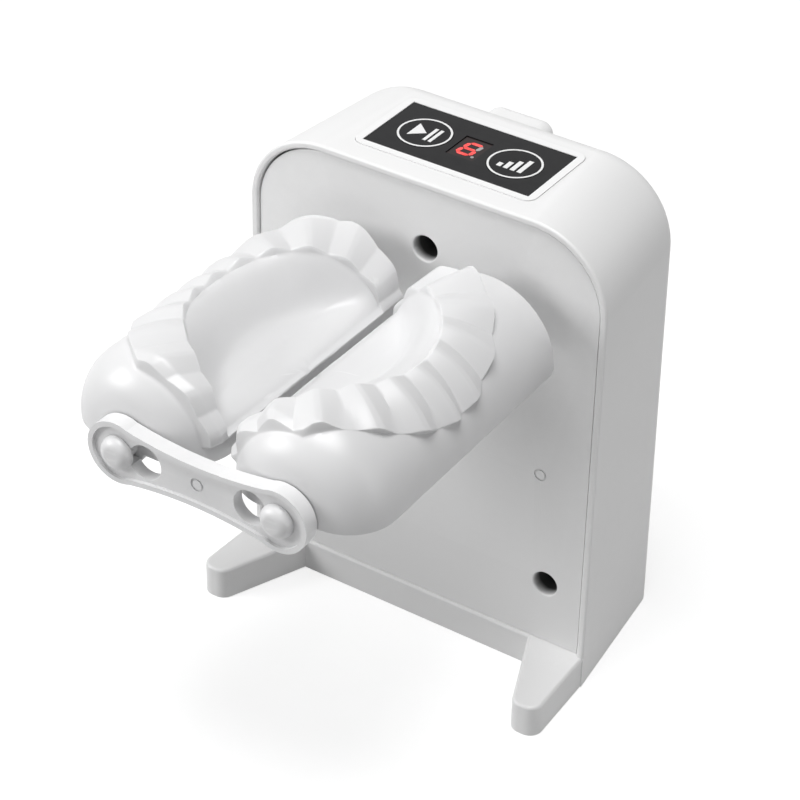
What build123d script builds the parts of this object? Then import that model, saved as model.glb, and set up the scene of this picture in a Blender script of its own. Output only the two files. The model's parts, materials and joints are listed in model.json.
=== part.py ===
from build123d import *
import math
import os

# Electric dumpling maker, millimetres, +Z up, front towards -Y.
# The origin is on the base underside, below the middle of the housing.

# Housing
WIDTH = 116.0
BACK_TAPER = 13.0
BACK_WIDTH = WIDTH - BACK_TAPER
HEIGHT = 149.0
FRONT_Y = -24.0
BACK_TOP_Y = 24.0
BACK_BASE_Y = 27.5
LOFT_BACK_Y = 34.0
TOP_R = 24.0
BACK_EDGE_R = 8.0
RIM_EDGE_R = 0.7
WALL = 2.2
BASE_H = 10.4
FIT = 0.1
TRIM = 0.3

# Front plate
PLATE_T = 2.4
PLATE_RECESS = 1.0
PLATE_Y = FRONT_Y + PLATE_RECESS
PLATE_BACK = PLATE_Y + PLATE_T
SCREW_TUBE_R = 5.5
SCREW_HOLE_R = 3.9
SCREW_TUBE_DEPTH = 9.0
TUBE_FLOOR = 1.8
BOSS_R = 3.4
HOLE_EDGE_R = 0.5
TOP_SCREW_Z = HEIGHT - 21.4
LOW_SCREW = (WIDTH / 2 - 14.5, BASE_H + 20.4)
MARK = (WIDTH / 2 - 18.0, BASE_H + 57.6)
MARK_R = 2.0
MARK_LINE = 0.6
MARK_DEPTH = 0.4

# Feet
FOOT_ROOT_X = WIDTH / 2 - 18.5
FOOT_TIP_X = WIDTH / 2 - 7.5
FOOT_OUTER_X = WIDTH / 2 + 0.8
FOOT_LENGTH = 27.0
FOOT_TIP_R = 4.0
EDGE_R = 1.0

# Gear train, spindles along Y
MODULE = 1.0
GEAR_TEETH = 50
AXIS_X = MODULE * GEAR_TEETH / 2
AXIS_Z = HEIGHT - 38.5
PINION_TEETH = 16
PRESSURE_ANGLE = 20.0
BACKLASH = 0.16
GEAR_T = 5.0
WEB_RIM = 4.0
WEB_HUB_R = 9.0
WEB_DEPTH = 1.2
GEAR_FRONT = -11.5
GEAR_BACK = GEAR_FRONT + GEAR_T
PINION_X = -4.0
MESH_DISTANCE = MODULE * (GEAR_TEETH + PINION_TEETH) / 2
PINION_Z = AXIS_Z - math.sqrt(MESH_DISTANCE**2 - (PINION_X + AXIS_X) ** 2)
SEAT_R = 5.0
REAR_R = 3.0
RUNNING = 0.05
COLLAR_R = 8.0
COLLAR_L = 6.0
SQUARE = 8.0
SQUARE_L = 13.5
OUTPUT_R = 2.5

# Bushes and bracket
FRONT_BUSH_R = 7.0
FRONT_BOSS_R = 9.0
BUSH_BACK = GEAR_FRONT - 0.6
REAR_BUSH_R = 5.0
REAR_BUSH_L = 5.0
REAR_FLANGE_R = 6.5
BRACKET_T = 2.0
BRACKET_Y = GEAR_BACK + 1.5
BRACKET_BACK = BRACKET_Y + BRACKET_T
POST_R = 3.5
SIDE_POST = (WIDTH / 2 - 10.0, AXIS_Z - 26.5)
TOP_POST_Z = HEIGHT - 12.4
POSTS = ((-SIDE_POST[0], SIDE_POST[1]), SIDE_POST, (0.0, TOP_POST_Z))
BRACKET_MARGIN = 4.0
BRACKET_LOW = 6.0
BRACKET_SHOULDER = 7.0
BRACKET_NECK = (AXIS_X + 8.0, AXIS_Z + 10.5)
BRACKET_TOP = (6.0, TOP_POST_Z + 3.4)

# Motor and gearbox
MOTOR_Z = PINION_Z - 27.0
MOTOR_R = 12.2
MOTOR_L = 14.0
GEARBOX_T = 12.0
GEARBOX_TOP_R = 11.0
GEARBOX_LOW_R = 14.0
GEARBOX_SCREWS = ((PINION_X - 9.0, MOTOR_Z + 14.5), (PINION_X + 9.0, MOTOR_Z + 14.5))

# Screws
SHANK_R = 1.4
HEAD_R = 2.7
HEAD_H = 1.9

# Moulds and connecting bar
MOULD_BACK = PLATE_Y - 6.7
MOULD_FRONT = PLATE_Y - 99.2
MOULD_MID = (MOULD_BACK + MOULD_FRONT) / 2
MOULD_R_BACK = 21.4
MOULD_R_FRONT = 23.0
RIM_R = 24.6
DOME_R = 14.0
UNDERCUT = 1.5
SHELL_T = 2.4
COVER_T = 2.0
FAN_OUTER = (64.0, 44.0)
FAN_INNER = (47.0, 34.0)
PLEATS = 12
PLEAT_ROOT_R = 19.0
PLEAT_TOP_R = 26.5
PLEAT_TAPER = 14.0
PLEAT_WIDTH = 9.5
PLEAT_SIDE_ANGLE = 85.0
PIT_ANGLE = 50.0
PIT_FLOOR = 13.0
PIT_NEAR = -13.7
PIT_FAR = 19.1
PIT_FILLET = 4.0
SOCKET_R = 8.0
SOCKET_BOSS_R = 10.0
SOCKET_L = 14.0
PIN_R = 3.0
PIN_BOSS_R = 5.5
PIN_BOSS_L = 9.0
BAR_BACK = MOULD_FRONT - 0.4
BAR_T = 4.6
BAR_FRONT = BAR_BACK - BAR_T
BAR_RECESS = 1.0
BAR_END_R = 9.2
BAR_WAIST = 6.4
BAR_RIM = 1.5
KEYHOLE_R = 5.1
KEYHOLE_OFFSET = 8.6
SLOT_HALF = 2.6
DOME_HEAD_R = 4.8
DOME_HEAD_H = 3.0

# Control panel
PANEL_Y = -1.6
FILM = (53.3, 25.7)
FRAME_MARGIN = 2.3
FRAME_R = 3.2
FILM_T = 1.2
LEDGE = (50.0, 22.0)
BUTTON_X = 14.6
BUTTON_R = 7.9
BUTTON_FLANGE_R = 8.6
WINDOW = (8.8, 11.2)
BOARD = (60.0, 25.0, 1.6)
BOARD_TOP = HEIGHT - 6.4
BUTTON_RISE = 0.1
FRAME_RISE = 0.2
DISPLAY = (10.4, 16.0)
SWITCH = (6.0, 2.8)
STEM_R = 1.5
BOARD_BOSS_R = 2.2
BOARD_SCREW_R = 0.9
BOARD_SCREW_HEAD = (1.8, 1.2)
PEG_X = 27.5
PEG_Y = 10.0

# Power
CELL_R = 9.2
CELL_L = 65.0
CELL_Z = BASE_H + 1.6 + CELL_R
CELL_Y = 2.0
TRAY_END = 2.0
CONTACT_T = 0.6
PORT_BOX = (20.8, 28.6, 4.0)
PORT_BOX_Z = HEIGHT - 16.0
PORT_BOX_Y = BACK_TOP_Y + 4.0
PORT_EDGE_R = 3.0
PORT_WALL = 1.6
PORT = (9.0, 3.2, 7.3)
PORT_SHELL = 0.4
PORT_TONGUE = (6.2, 0.7)

# Base fasteners
FRONT_BASE_SCREW = (WIDTH / 2 - 11.5, -14.0)
REAR_BASE_SCREW = (WIDTH / 2 - 16.0, 13.0)
BASE_SCREWS = [(side * x, y) for x, y in (FRONT_BASE_SCREW, REAR_BASE_SCREW) for side in (-1, 1)]
BASE_BOSS_TOP = BASE_H + 12.6
DECK_T = 3.0
SKIRT = 3.0
BOTTOM_T = 1.6


def facing(y):
    """Plane across the depth at y: local x is +X and local y is +Z."""
    return Plane.XZ.offset(-y)


def rod(spots, radius, y_from, y_to, mode=Mode.ADD):
    """Round bars along Y at each (x, z) spot."""
    with BuildSketch(facing(y_from)) as ends:
        with Locations(*spots):
            Circle(radius)
    extrude(ends.sketch, amount=y_from - y_to, mode=mode)


def post(spots, radius, z_from, z_to, mode=Mode.ADD):
    """Round bars along Z at each (x, y) spot."""
    with BuildSketch(Plane.XY.offset(z_from)) as ends:
        with Locations(*spots):
            Circle(radius)
    extrude(ends.sketch, amount=z_to - z_from, mode=mode)


def block(x_range, y_range, z_range, mode=Mode.ADD):
    """Plain box between the given limits."""
    corner = (x_range[0], y_range[0], z_range[0])
    size = (x_range[1] - x_range[0], y_range[1] - y_range[0], z_range[1] - z_range[0])
    with Locations(corner):
        Box(*size, align=Align.MIN, mode=mode)


def body_outline(inset, front_inset=0.0):
    """Solid outline of housing and base, drawn in by inset on the sides, top and back."""
    slope = BACK_BASE_Y - BACK_TOP_Y
    back_normal = Vector(0, HEIGHT, slope).normalized()
    back_point = Vector(0, BACK_TOP_Y, HEIGHT) - back_normal * inset
    with BuildPart() as outline:
        for y, width in ((FRONT_Y, WIDTH), (LOFT_BACK_Y, BACK_WIDTH)):
            with BuildSketch(facing(y)) as arch:
                Rectangle(width - 2 * inset, HEIGHT - inset, align=(Align.CENTER, Align.MIN))
                fillet(arch.vertices().group_by(Axis.Y)[-1], TOP_R - inset)
        loft(ruled=True)
        split(bisect_by=Plane(origin=back_point, z_dir=back_normal), keep=Keep.BOTTOM)
        back = outline.faces().sort_by(Axis.Y)[-1]
        fillet(back.edges().filter_by(lambda e: e.center().Z > 1), BACK_EDGE_R - inset)
        if front_inset:
            split(bisect_by=facing(FRONT_Y + front_inset), keep=Keep.BOTTOM)
    return outline.part


def half_width(y):
    """Half width of the body outline at depth y, below the top corners."""
    share = (y - FRONT_Y) / (LOFT_BACK_Y - FRONT_Y)
    return (WIDTH + (BACK_WIDTH - WIDTH) * share) / 2


def base_hollow():
    """Space under the base deck, inside the skirt, open at the underside."""
    with BuildPart() as space:
        add(body_outline(SKIRT, SKIRT))
        split(bisect_by=Plane.XY.offset(BASE_H - DECK_T), keep=Keep.BOTTOM)
    return space.part


OUTER = body_outline(0)
INNER = body_outline(WALL)
BASE_HOLLOW = base_hollow()
MIRRORED = ((-1, "left"), (1, "right"))
SPINDLES = ((-AXIS_X, AXIS_Z), (AXIS_X, AXIS_Z))
PLATE_SCREWS = ((0, TOP_SCREW_Z), (-LOW_SCREW[0], LOW_SCREW[1]), LOW_SCREW)
TUBE_END = PLATE_Y + SCREW_TUBE_DEPTH + TUBE_FLOOR
PANEL_FLOOR = HEIGHT - FILM_T
PEGS = [(end * PEG_X, PANEL_Y + side * PEG_Y) for end in (-1, 1) for side in (-1, 1)]


def finish(piece, name):
    """Label a finished piece and write it."""
    piece.part.label = name
    export_step(piece.part, f"parts/{name}.step")


def screws(spots, head_y, length):
    """Pan head screws along +Y with their heads' undersides at head_y."""
    rod(spots, HEAD_R, head_y - HEAD_H, head_y)
    rod(spots, SHANK_R, head_y, head_y + length)


os.makedirs("parts", exist_ok=True)

# Housing shell
with BuildPart() as housing_shell:
    add(OUTER)
    add(INNER, mode=Mode.SUBTRACT)
    split(bisect_by=Plane.XY.offset(BASE_H), keep=Keep.TOP)
    rod(PLATE_SCREWS, BOSS_R, TUBE_END, BACK_BASE_Y)
    for x, y in BASE_SCREWS:
        side = math.copysign(1, x)
        post([(x, y)], BOSS_R, BASE_H, BASE_BOSS_TOP)
        rib = sorted((x, side * (half_width(y) - WALL / 2)))
        block(rib, (y - 1, y + 1), (BASE_H, BASE_BOSS_TOP))
    post(PEGS, BOARD_BOSS_R, BOARD_TOP, HEIGHT - WALL)
    add(OUTER, mode=Mode.INTERSECT)
    rod(PLATE_SCREWS, SHANK_R, TUBE_END, TUBE_END + 12, mode=Mode.SUBTRACT)
    post(BASE_SCREWS, SHANK_R, BASE_H, BASE_BOSS_TOP - 2, mode=Mode.SUBTRACT)
    post(PEGS, BOARD_SCREW_R, BOARD_TOP, BOARD_TOP + 3, mode=Mode.SUBTRACT)
    with BuildSketch(Plane.XY.offset(HEIGHT)):
        with Locations((0, PANEL_Y)):
            RectangleRounded(
                FILM[0] + 2 * (FRAME_MARGIN + FIT), FILM[1] + 2 * (FRAME_MARGIN + FIT), FRAME_R
            )
    extrude(amount=-FILM_T, mode=Mode.SUBTRACT)
    with BuildSketch(Plane.XY.offset(HEIGHT)):
        with Locations((0, PANEL_Y)):
            Rectangle(*LEDGE)
    extrude(amount=-2 * WALL, mode=Mode.SUBTRACT)
    port_way = (PORT[0] / 2 + TRIM, PORT[1] / 2 + TRIM)
    port_way_z = (PORT_BOX_Z - port_way[1], PORT_BOX_Z + port_way[1])
    block((-port_way[0], port_way[0]), (BACK_TOP_Y - 2 * WALL, BACK_BASE_Y), port_way_z, mode=Mode.SUBTRACT)
    rim = housing_shell.edges().filter_by(
        lambda e: e.center().Y < FRONT_Y + 0.01 and e.center().Z > BASE_H + 1
    )
    fillet(rim, RIM_EDGE_R)
finish(housing_shell, "housing_shell")

# Front plate, set back in the rim, with tubes over the deep screw holes
with BuildPart() as front_plate:
    with BuildSketch(facing(PLATE_Y)) as plate_outline:
        plate_half = half_width(PLATE_BACK) - WALL - 0.15
        plate_top = HEIGHT - WALL - 0.4
        with Locations((0, BASE_H + FIT)):
            Rectangle(2 * plate_half, plate_top - BASE_H - FIT, align=(Align.CENTER, Align.MIN))
        fillet(plate_outline.vertices().group_by(Axis.Y)[-1], TOP_R - WALL)
    extrude(amount=-PLATE_T)
    rod(PLATE_SCREWS, SCREW_TUBE_R, PLATE_BACK, TUBE_END)
    rod(SPINDLES, FRONT_BOSS_R, PLATE_BACK, BUSH_BACK - 1)
    rod(POSTS, POST_R, PLATE_BACK, BRACKET_Y)
    rod(PLATE_SCREWS, SCREW_HOLE_R, PLATE_Y, PLATE_Y + SCREW_TUBE_DEPTH, mode=Mode.SUBTRACT)
    rod(PLATE_SCREWS, SHANK_R + 0.2, PLATE_Y, TUBE_END, mode=Mode.SUBTRACT)
    rod(SPINDLES, FRONT_BUSH_R, PLATE_Y, BUSH_BACK, mode=Mode.SUBTRACT)
    rod(POSTS, SHANK_R, BRACKET_Y - 9, BRACKET_Y, mode=Mode.SUBTRACT)
    marks = [(side * MARK[0], MARK[1]) for side in (-1, 1)]
    rod(marks, MARK_R, PLATE_Y, PLATE_Y + MARK_DEPTH, mode=Mode.SUBTRACT)
    rod(marks, MARK_R - MARK_LINE, PLATE_Y, PLATE_Y + MARK_DEPTH)
    hole_edges = front_plate.edges().filter_by(
        lambda e: e.geom_type == GeomType.CIRCLE
        and abs(e.radius - SCREW_HOLE_R) < 0.01
        and e.center().Y < PLATE_Y + 0.01
    )
    fillet(hole_edges, HOLE_EDGE_R)
finish(front_plate, "front_plate")

# Base stand: a slab under the housing with two feet that reach forward
with BuildPart() as base_stand:
    add(OUTER)
    split(bisect_by=Plane.XY.offset(BASE_H), keep=Keep.BOTTOM)
    for side, _ in MIRRORED:
        with BuildSketch(Plane.XY) as foot:
            with BuildLine():
                root_y = FRONT_Y + 4
                tip_y = FRONT_Y - FOOT_LENGTH
                Polyline(
                    (side * FOOT_ROOT_X, root_y),
                    (side * FOOT_ROOT_X, FRONT_Y),
                    (side * FOOT_TIP_X, tip_y),
                    (side * FOOT_OUTER_X, tip_y),
                    (side * half_width(root_y), root_y),
                    close=True,
                )
            make_face()
            fillet(foot.vertices().group_by(Axis.Y)[0], FOOT_TIP_R)
        extrude(amount=BASE_H)
    front_top = base_stand.edges().filter_by(
        lambda e: e.center().Z > BASE_H - 0.01 and e.center().Y < FRONT_Y + 0.01
    )
    fillet(front_top, EDGE_R)
    add(BASE_HOLLOW, mode=Mode.SUBTRACT)
    post(BASE_SCREWS, BOSS_R + 0.6, BOTTOM_T, BASE_H)
    post(BASE_SCREWS, SHANK_R + 0.2, 0, BASE_H, mode=Mode.SUBTRACT)
finish(base_stand, "base_stand")

# Bottom plate, flush with the underside, countersunk for the long base screws
with BuildPart() as base_bottom_plate:
    add(BASE_HOLLOW)
    split(bisect_by=Plane.XY.offset(BOTTOM_T), keep=Keep.BOTTOM)
    with Locations(*[Location((x, y, 0), (180, 0, 0)) for x, y in BASE_SCREWS]):
        CounterSinkHole(SHANK_R + 0.2, HEAD_R)
finish(base_bottom_plate, "base_bottom_plate")

with BuildPart() as base_screws:
    post(BASE_SCREWS, SHANK_R, 0, BASE_H + 8)
    for x, y in BASE_SCREWS:
        with Locations((x, y, 0)):
            Cone(HEAD_R, SHANK_R, HEAD_R - SHANK_R, align=(Align.CENTER, Align.CENTER, Align.MIN))
finish(base_screws, "base_screws")

with BuildPart() as plate_screws:
    screws(PLATE_SCREWS, PLATE_Y + SCREW_TUBE_DEPTH, TUBE_FLOOR + 9)
finish(plate_screws, "plate_screws")

# Bracket behind the gears, carrying the rear bushes and the gearbox
with BuildPart() as gear_bracket:
    bracket_x = SIDE_POST[0] + BRACKET_MARGIN
    right_edge = [
        (bracket_x, SIDE_POST[1] - BRACKET_LOW),
        (bracket_x, SIDE_POST[1] + BRACKET_SHOULDER),
        BRACKET_NECK,
        BRACKET_TOP,
    ]
    left_edge = [(-x, z) for x, z in reversed(right_edge)]
    with BuildSketch(facing(BRACKET_Y)):
        Polygon(*right_edge, *left_edge, align=None)
        with Locations((PINION_X, MOTOR_Z + 6)):
            Rectangle(36, 48)
    extrude(amount=-BRACKET_T)
    rod(SPINDLES, REAR_BUSH_R, BRACKET_Y, BRACKET_BACK, mode=Mode.SUBTRACT)
    rod(PLATE_SCREWS[:1], BOSS_R + 0.5, BRACKET_Y, BRACKET_BACK, mode=Mode.SUBTRACT)
    rod([(PINION_X, PINION_Z)], 2 * OUTPUT_R, BRACKET_Y, BRACKET_BACK, mode=Mode.SUBTRACT)
    rod([(PINION_X, MOTOR_Z)], MOTOR_R + 0.3, BRACKET_Y, BRACKET_BACK, mode=Mode.SUBTRACT)
    rod(POSTS + GEARBOX_SCREWS, SHANK_R, BRACKET_Y, BRACKET_BACK, mode=Mode.SUBTRACT)
finish(gear_bracket, "gear_bracket")

with BuildPart() as bracket_screws:
    rod(POSTS, HEAD_R, BRACKET_BACK, BRACKET_BACK + HEAD_H)
    rod(POSTS, SHANK_R, BRACKET_Y - 8, BRACKET_BACK)
finish(bracket_screws, "bracket_screws")

# Folded gearmotor: the can points forward through the bracket, below the gears
with BuildPart() as gearbox:
    with BuildSketch(facing(BRACKET_BACK)):
        with Locations((PINION_X, PINION_Z)):
            Circle(GEARBOX_TOP_R)
        with Locations((PINION_X, MOTOR_Z)):
            Circle(GEARBOX_LOW_R)
        make_hull()
    extrude(amount=-GEARBOX_T)
    gearbox_rear = gearbox.faces().sort_by(Axis.Y)[-1]
    fillet(gearbox_rear.edges(), 1.5)
    bearing = [(PINION_X, PINION_Z)]
    rod(bearing, OUTPUT_R + RUNNING, BRACKET_BACK, BRACKET_BACK + 8, mode=Mode.SUBTRACT)
    rod(GEARBOX_SCREWS, SHANK_R, BRACKET_BACK, BRACKET_BACK + 6, mode=Mode.SUBTRACT)
finish(gearbox, "gearbox")

with BuildPart() as motor_can:
    rod([(PINION_X, MOTOR_Z)], MOTOR_R, BRACKET_BACK - MOTOR_L, BRACKET_BACK)
    front_rim = motor_can.edges().filter_by(GeomType.CIRCLE).sort_by(Axis.Y)[0]
    fillet(front_rim, 1.2)
    rod([(PINION_X, MOTOR_Z)], 3.5, BRACKET_BACK - MOTOR_L - 1.2, BRACKET_BACK - MOTOR_L)
finish(motor_can, "motor_can")

with BuildPart() as gearbox_screws:
    screws(GEARBOX_SCREWS, BRACKET_Y, BRACKET_T + 5)
finish(gearbox_screws, "gearbox_screws")


def involute(base_radius, radius):
    """Angle, in radians, by which an involute has turned when it reaches the radius."""
    roll = math.sqrt(max((radius / base_radius) ** 2 - 1, 0))
    return roll - math.atan(roll)


def gear_points(teeth, phase):
    """Outline of a spur gear with the middle of one tooth at phase degrees."""
    pitch_r = MODULE * teeth / 2
    base_r = pitch_r * math.cos(math.radians(PRESSURE_ANGLE))
    root_r = pitch_r - 1.25 * MODULE
    tip_r = pitch_r + MODULE
    half_pitch = (math.pi * MODULE / 2 - BACKLASH) / 2 / pitch_r
    start_r = max(base_r, root_r)
    radii = [start_r + (tip_r - start_r) * step / 3 for step in range(4)]
    flank = [(r, half_pitch + involute(base_r, pitch_r) - involute(base_r, r)) for r in radii]
    if start_r > root_r:
        flank.insert(0, (root_r, flank[0][1]))
    points = []
    for tooth in range(teeth):
        middle = math.radians(phase + 360 * tooth / teeth)
        for r, half in flank:
            points.append((r * math.cos(middle - half), r * math.sin(middle - half)))
        for r, half in reversed(flank):
            points.append((r * math.cos(middle + half), r * math.sin(middle + half)))
    return points


def gear(centre, teeth, phase, bore):
    """Spur gear about an axis along Y."""
    with BuildSketch(facing(GEAR_FRONT)) as disc:
        with Locations(centre):
            Polygon(*gear_points(teeth, phase), align=None)
            Circle(bore, mode=Mode.SUBTRACT)
    extrude(disc.sketch, amount=-GEAR_T)


# Tooth phases that put every pair in mesh in the rest position
TOOTH = 360 / GEAR_TEETH
PINION_TOOTH = 360 / PINION_TEETH
TO_PINION = math.degrees(math.atan2(PINION_Z - AXIS_Z, PINION_X + AXIS_X))
LEFT_AHEAD = round(TO_PINION / TOOTH) * TOOTH - TO_PINION
PINION_PHASE = TO_PINION + 180 + PINION_TOOTH / 2 - LEFT_AHEAD * GEAR_TEETH / PINION_TEETH
GEAR_PHASES = (0, TOOTH / 2)

for side, name in MIRRORED:
    x = side * AXIS_X
    # Spindle: rear journal, gear seat and front journal, collar, square end for the mould
    with BuildPart() as spindle:
        rod([(x, AXIS_Z)], REAR_R, BRACKET_Y - 0.5, BRACKET_Y + REAR_BUSH_L)
        rod([(x, AXIS_Z)], SEAT_R, PLATE_Y - 0.5, BRACKET_Y - 0.5)
        rod([(x, AXIS_Z)], COLLAR_R, PLATE_Y - TRIM - COLLAR_L, PLATE_Y - TRIM)
        with BuildSketch(facing(PLATE_Y - TRIM - COLLAR_L)):
            with Locations((x, AXIS_Z)):
                Rectangle(SQUARE, SQUARE)
        extrude(amount=SQUARE_L)
        square_end = spindle.faces().sort_by(Axis.Y)[0]
        chamfer(square_end.edges(), 0.6)
    finish(spindle, f"{name}_spindle")

    with BuildPart() as spindle_gear:
        gear((x, AXIS_Z), GEAR_TEETH, GEAR_PHASES[side > 0], SEAT_R)
        for face_y in (GEAR_FRONT, GEAR_BACK - WEB_DEPTH):
            with BuildSketch(facing(face_y)):
                with Locations((x, AXIS_Z)):
                    Circle(MODULE * GEAR_TEETH / 2 - WEB_RIM)
                    Circle(WEB_HUB_R, mode=Mode.SUBTRACT)
            extrude(amount=-WEB_DEPTH, mode=Mode.SUBTRACT)
    finish(spindle_gear, f"{name}_gear")

with BuildPart() as drive_pinion:
    gear((PINION_X, PINION_Z), PINION_TEETH, PINION_PHASE, OUTPUT_R)
finish(drive_pinion, "drive_pinion")

with BuildPart() as output_shaft:
    rod([(PINION_X, PINION_Z)], OUTPUT_R, GEAR_FRONT - 0.8, BRACKET_BACK + 7.5)
finish(output_shaft, "output_shaft")

with BuildPart() as front_bushes:
    rod(SPINDLES, FRONT_BUSH_R, PLATE_Y, BUSH_BACK)
    rod(SPINDLES, SEAT_R + RUNNING, PLATE_Y, BUSH_BACK, mode=Mode.SUBTRACT)
finish(front_bushes, "front_bushes")

with BuildPart() as rear_bushes:
    rod(SPINDLES, REAR_BUSH_R, BRACKET_Y, BRACKET_Y + REAR_BUSH_L)
    rod(SPINDLES, REAR_FLANGE_R, BRACKET_BACK, BRACKET_BACK + 1)
    rod(SPINDLES, REAR_R + RUNNING, BRACKET_Y, BRACKET_Y + REAR_BUSH_L, mode=Mode.SUBTRACT)
finish(rear_bushes, "rear_bushes")


def turned(side, r_back, r_front, y_back, y_front, dome):
    """Solid of revolution about a mould axis with a rounded front end."""
    x = side * AXIS_X
    with BuildPart() as body:
        with BuildSketch(Plane.XY.offset(AXIS_Z)) as profile:
            Polygon((x, y_back), (x, y_front), (x + r_front, y_front), (x + r_back, y_back), align=None)
            fillet(profile.vertices().sort_by(Axis.X)[-2:].sort_by(Axis.Y)[0], dome)
        revolve(axis=Axis((x, 0, AXIS_Z), (0, 1, 0)))
    return body.part


def radial(side, angle):
    """Unit vectors outward and along the surface at an angle up from the nip."""
    c = math.cos(math.radians(angle))
    s = math.sin(math.radians(angle))
    return Vector(-side * c, 0, s), Vector(side * s, 0, c)


def fan_point(size, turn):
    """Point of a half ellipse on the unrolled rim: distance from the nip line and depth."""
    return size[0] * math.sin(turn), MOULD_MID - size[1] * math.cos(turn)


def pleat_ribs(side):
    """Tapered ribs set round the fan, running from the pit edge outwards."""
    with BuildPart() as ribs:
        for index in range(PLEATS):
            turn = math.pi * (index + 0.5 + 0.25 * side) / PLEATS
            inner = fan_point(FAN_INNER, turn)
            outer = fan_point(FAN_OUTER, turn)
            length = math.dist(inner, outer)
            middle = ((inner[0] + outer[0]) / 2, (inner[1] + outer[1]) / 2)
            out, along = radial(side, math.degrees(middle[0] / RIM_R))
            run = along * (outer[0] - inner[0]) + Vector(0, 1, 0) * (outer[1] - inner[1])
            root = Vector(side * AXIS_X, middle[1], AXIS_Z) + out * PLEAT_ROOT_R
            chord = 2 * RIM_R * math.sin(length / 2 / RIM_R)
            with BuildSketch(Plane(origin=root, x_dir=run, z_dir=out)):
                with Locations((0, 0)):
                    Trapezoid(PLEAT_WIDTH, chord, PLEAT_SIDE_ANGLE, rotation=90)
            extrude(amount=PLEAT_TOP_R - PLEAT_ROOT_R, taper=PLEAT_TAPER)
        add(turned(side, RIM_R, RIM_R, MOULD_BACK, MOULD_FRONT, DOME_R + 2), mode=Mode.INTERSECT)
    return ribs.part


def pit(side):
    """Half-moon pocket that holds the filling, straight along the nip, with a rounded floor."""
    out, along = radial(side, PIT_ANGLE)
    floor = Vector(side * AXIS_X, MOULD_MID, AXIS_Z) + out * PIT_FLOOR
    with BuildPart() as pocket:
        with BuildSketch(Plane(origin=floor, x_dir=along, z_dir=out)):
            with BuildLine():
                Line((PIT_NEAR, -FAN_INNER[1]), (PIT_NEAR, FAN_INNER[1]))
                EllipticalCenterArc(
                    (PIT_NEAR, 0), PIT_FAR - PIT_NEAR, FAN_INNER[1], start_angle=-90, arc_size=180
                )
            make_face()
        extrude(amount=RIM_R)
        floor_face = pocket.faces().filter_by(Plane(origin=floor, z_dir=out)).sort_by(Axis.Z)[0]
        fillet(floor_face.edges(), PIT_FILLET)
    return pocket.part


UNDERSIDE_Z = AXIS_Z - UNDERCUT
COVER_TOP = UNDERSIDE_Z + COVER_T
SOCKET_FRONT = MOULD_BACK - SOCKET_L

for side, name in MIRRORED:
    x = side * AXIS_X
    out, _ = radial(side, PIT_ANGLE)
    ribs = pleat_ribs(side)
    pocket = pit(side)
    skin = turned(side, MOULD_R_BACK, MOULD_R_FRONT, MOULD_BACK, MOULD_FRONT, DOME_R)
    with BuildPart() as hollow:
        add(
            turned(
                side,
                MOULD_R_BACK - SHELL_T,
                MOULD_R_FRONT - SHELL_T,
                MOULD_BACK - SHELL_T,
                MOULD_FRONT + SHELL_T,
                DOME_R - SHELL_T,
            )
        )
        below_pit = Vector(x, 0, AXIS_Z) + out * (PIT_FLOOR - SHELL_T)
        split(bisect_by=Plane(origin=below_pit, z_dir=out), keep=Keep.BOTTOM)
        split(bisect_by=Plane.XY.offset(UNDERSIDE_Z), keep=Keep.TOP)
        rod([(x, AXIS_Z)], SOCKET_BOSS_R, SOCKET_FRONT, MOULD_BACK, mode=Mode.SUBTRACT)
        rod([(x, AXIS_Z)], PIN_BOSS_R, MOULD_FRONT, MOULD_FRONT + PIN_BOSS_L, mode=Mode.SUBTRACT)
    hollow_part = hollow.part

    with BuildPart() as mould:
        add(skin)
        add(ribs)
        split(bisect_by=Plane.XY.offset(UNDERSIDE_Z), keep=Keep.TOP)
        add(pocket, mode=Mode.SUBTRACT)
        add(hollow_part, mode=Mode.SUBTRACT)
        rod([(x, AXIS_Z)], SOCKET_BOSS_R, SOCKET_FRONT, MOULD_BACK)
        rod([(x, AXIS_Z)], PIN_BOSS_R, MOULD_FRONT, MOULD_FRONT + PIN_BOSS_L)
        rod([(x, AXIS_Z)], SOCKET_R, SOCKET_FRONT, MOULD_BACK, mode=Mode.SUBTRACT)
        rod([(x, AXIS_Z)], PIN_R, MOULD_FRONT, MOULD_FRONT + PIN_BOSS_L - 1, mode=Mode.SUBTRACT)
    finish(mould, f"{name}_mould")

    with BuildPart() as mould_cover:
        add(hollow_part)
        split(bisect_by=Plane.XY.offset(COVER_TOP), keep=Keep.BOTTOM)
    finish(mould_cover, f"{name}_mould_cover")

    with BuildPart() as drive_socket:
        rod([(x, AXIS_Z)], SOCKET_R, SOCKET_FRONT, MOULD_BACK)
        with BuildSketch(facing(MOULD_BACK)):
            with Locations((x, AXIS_Z)):
                Rectangle(SQUARE + 2 * FIT, SQUARE + 2 * FIT)
        extrude(amount=SOCKET_L - 0.6, mode=Mode.SUBTRACT)
    finish(drive_socket, f"{name}_drive_socket")

    with BuildPart() as front_pin:
        head_back = BAR_FRONT + BAR_RECESS - FIT
        rod([(x, AXIS_Z)], PIN_R, head_back, MOULD_FRONT + PIN_BOSS_L - 1)
        rod([(x, AXIS_Z)], DOME_HEAD_R, head_back - DOME_HEAD_H, head_back)
        dome_rim = front_pin.edges().filter_by(GeomType.CIRCLE).sort_by(Axis.Y)[0]
        fillet(dome_rim, DOME_HEAD_H - 0.1)
    finish(front_pin, f"{name}_front_pin")


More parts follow.
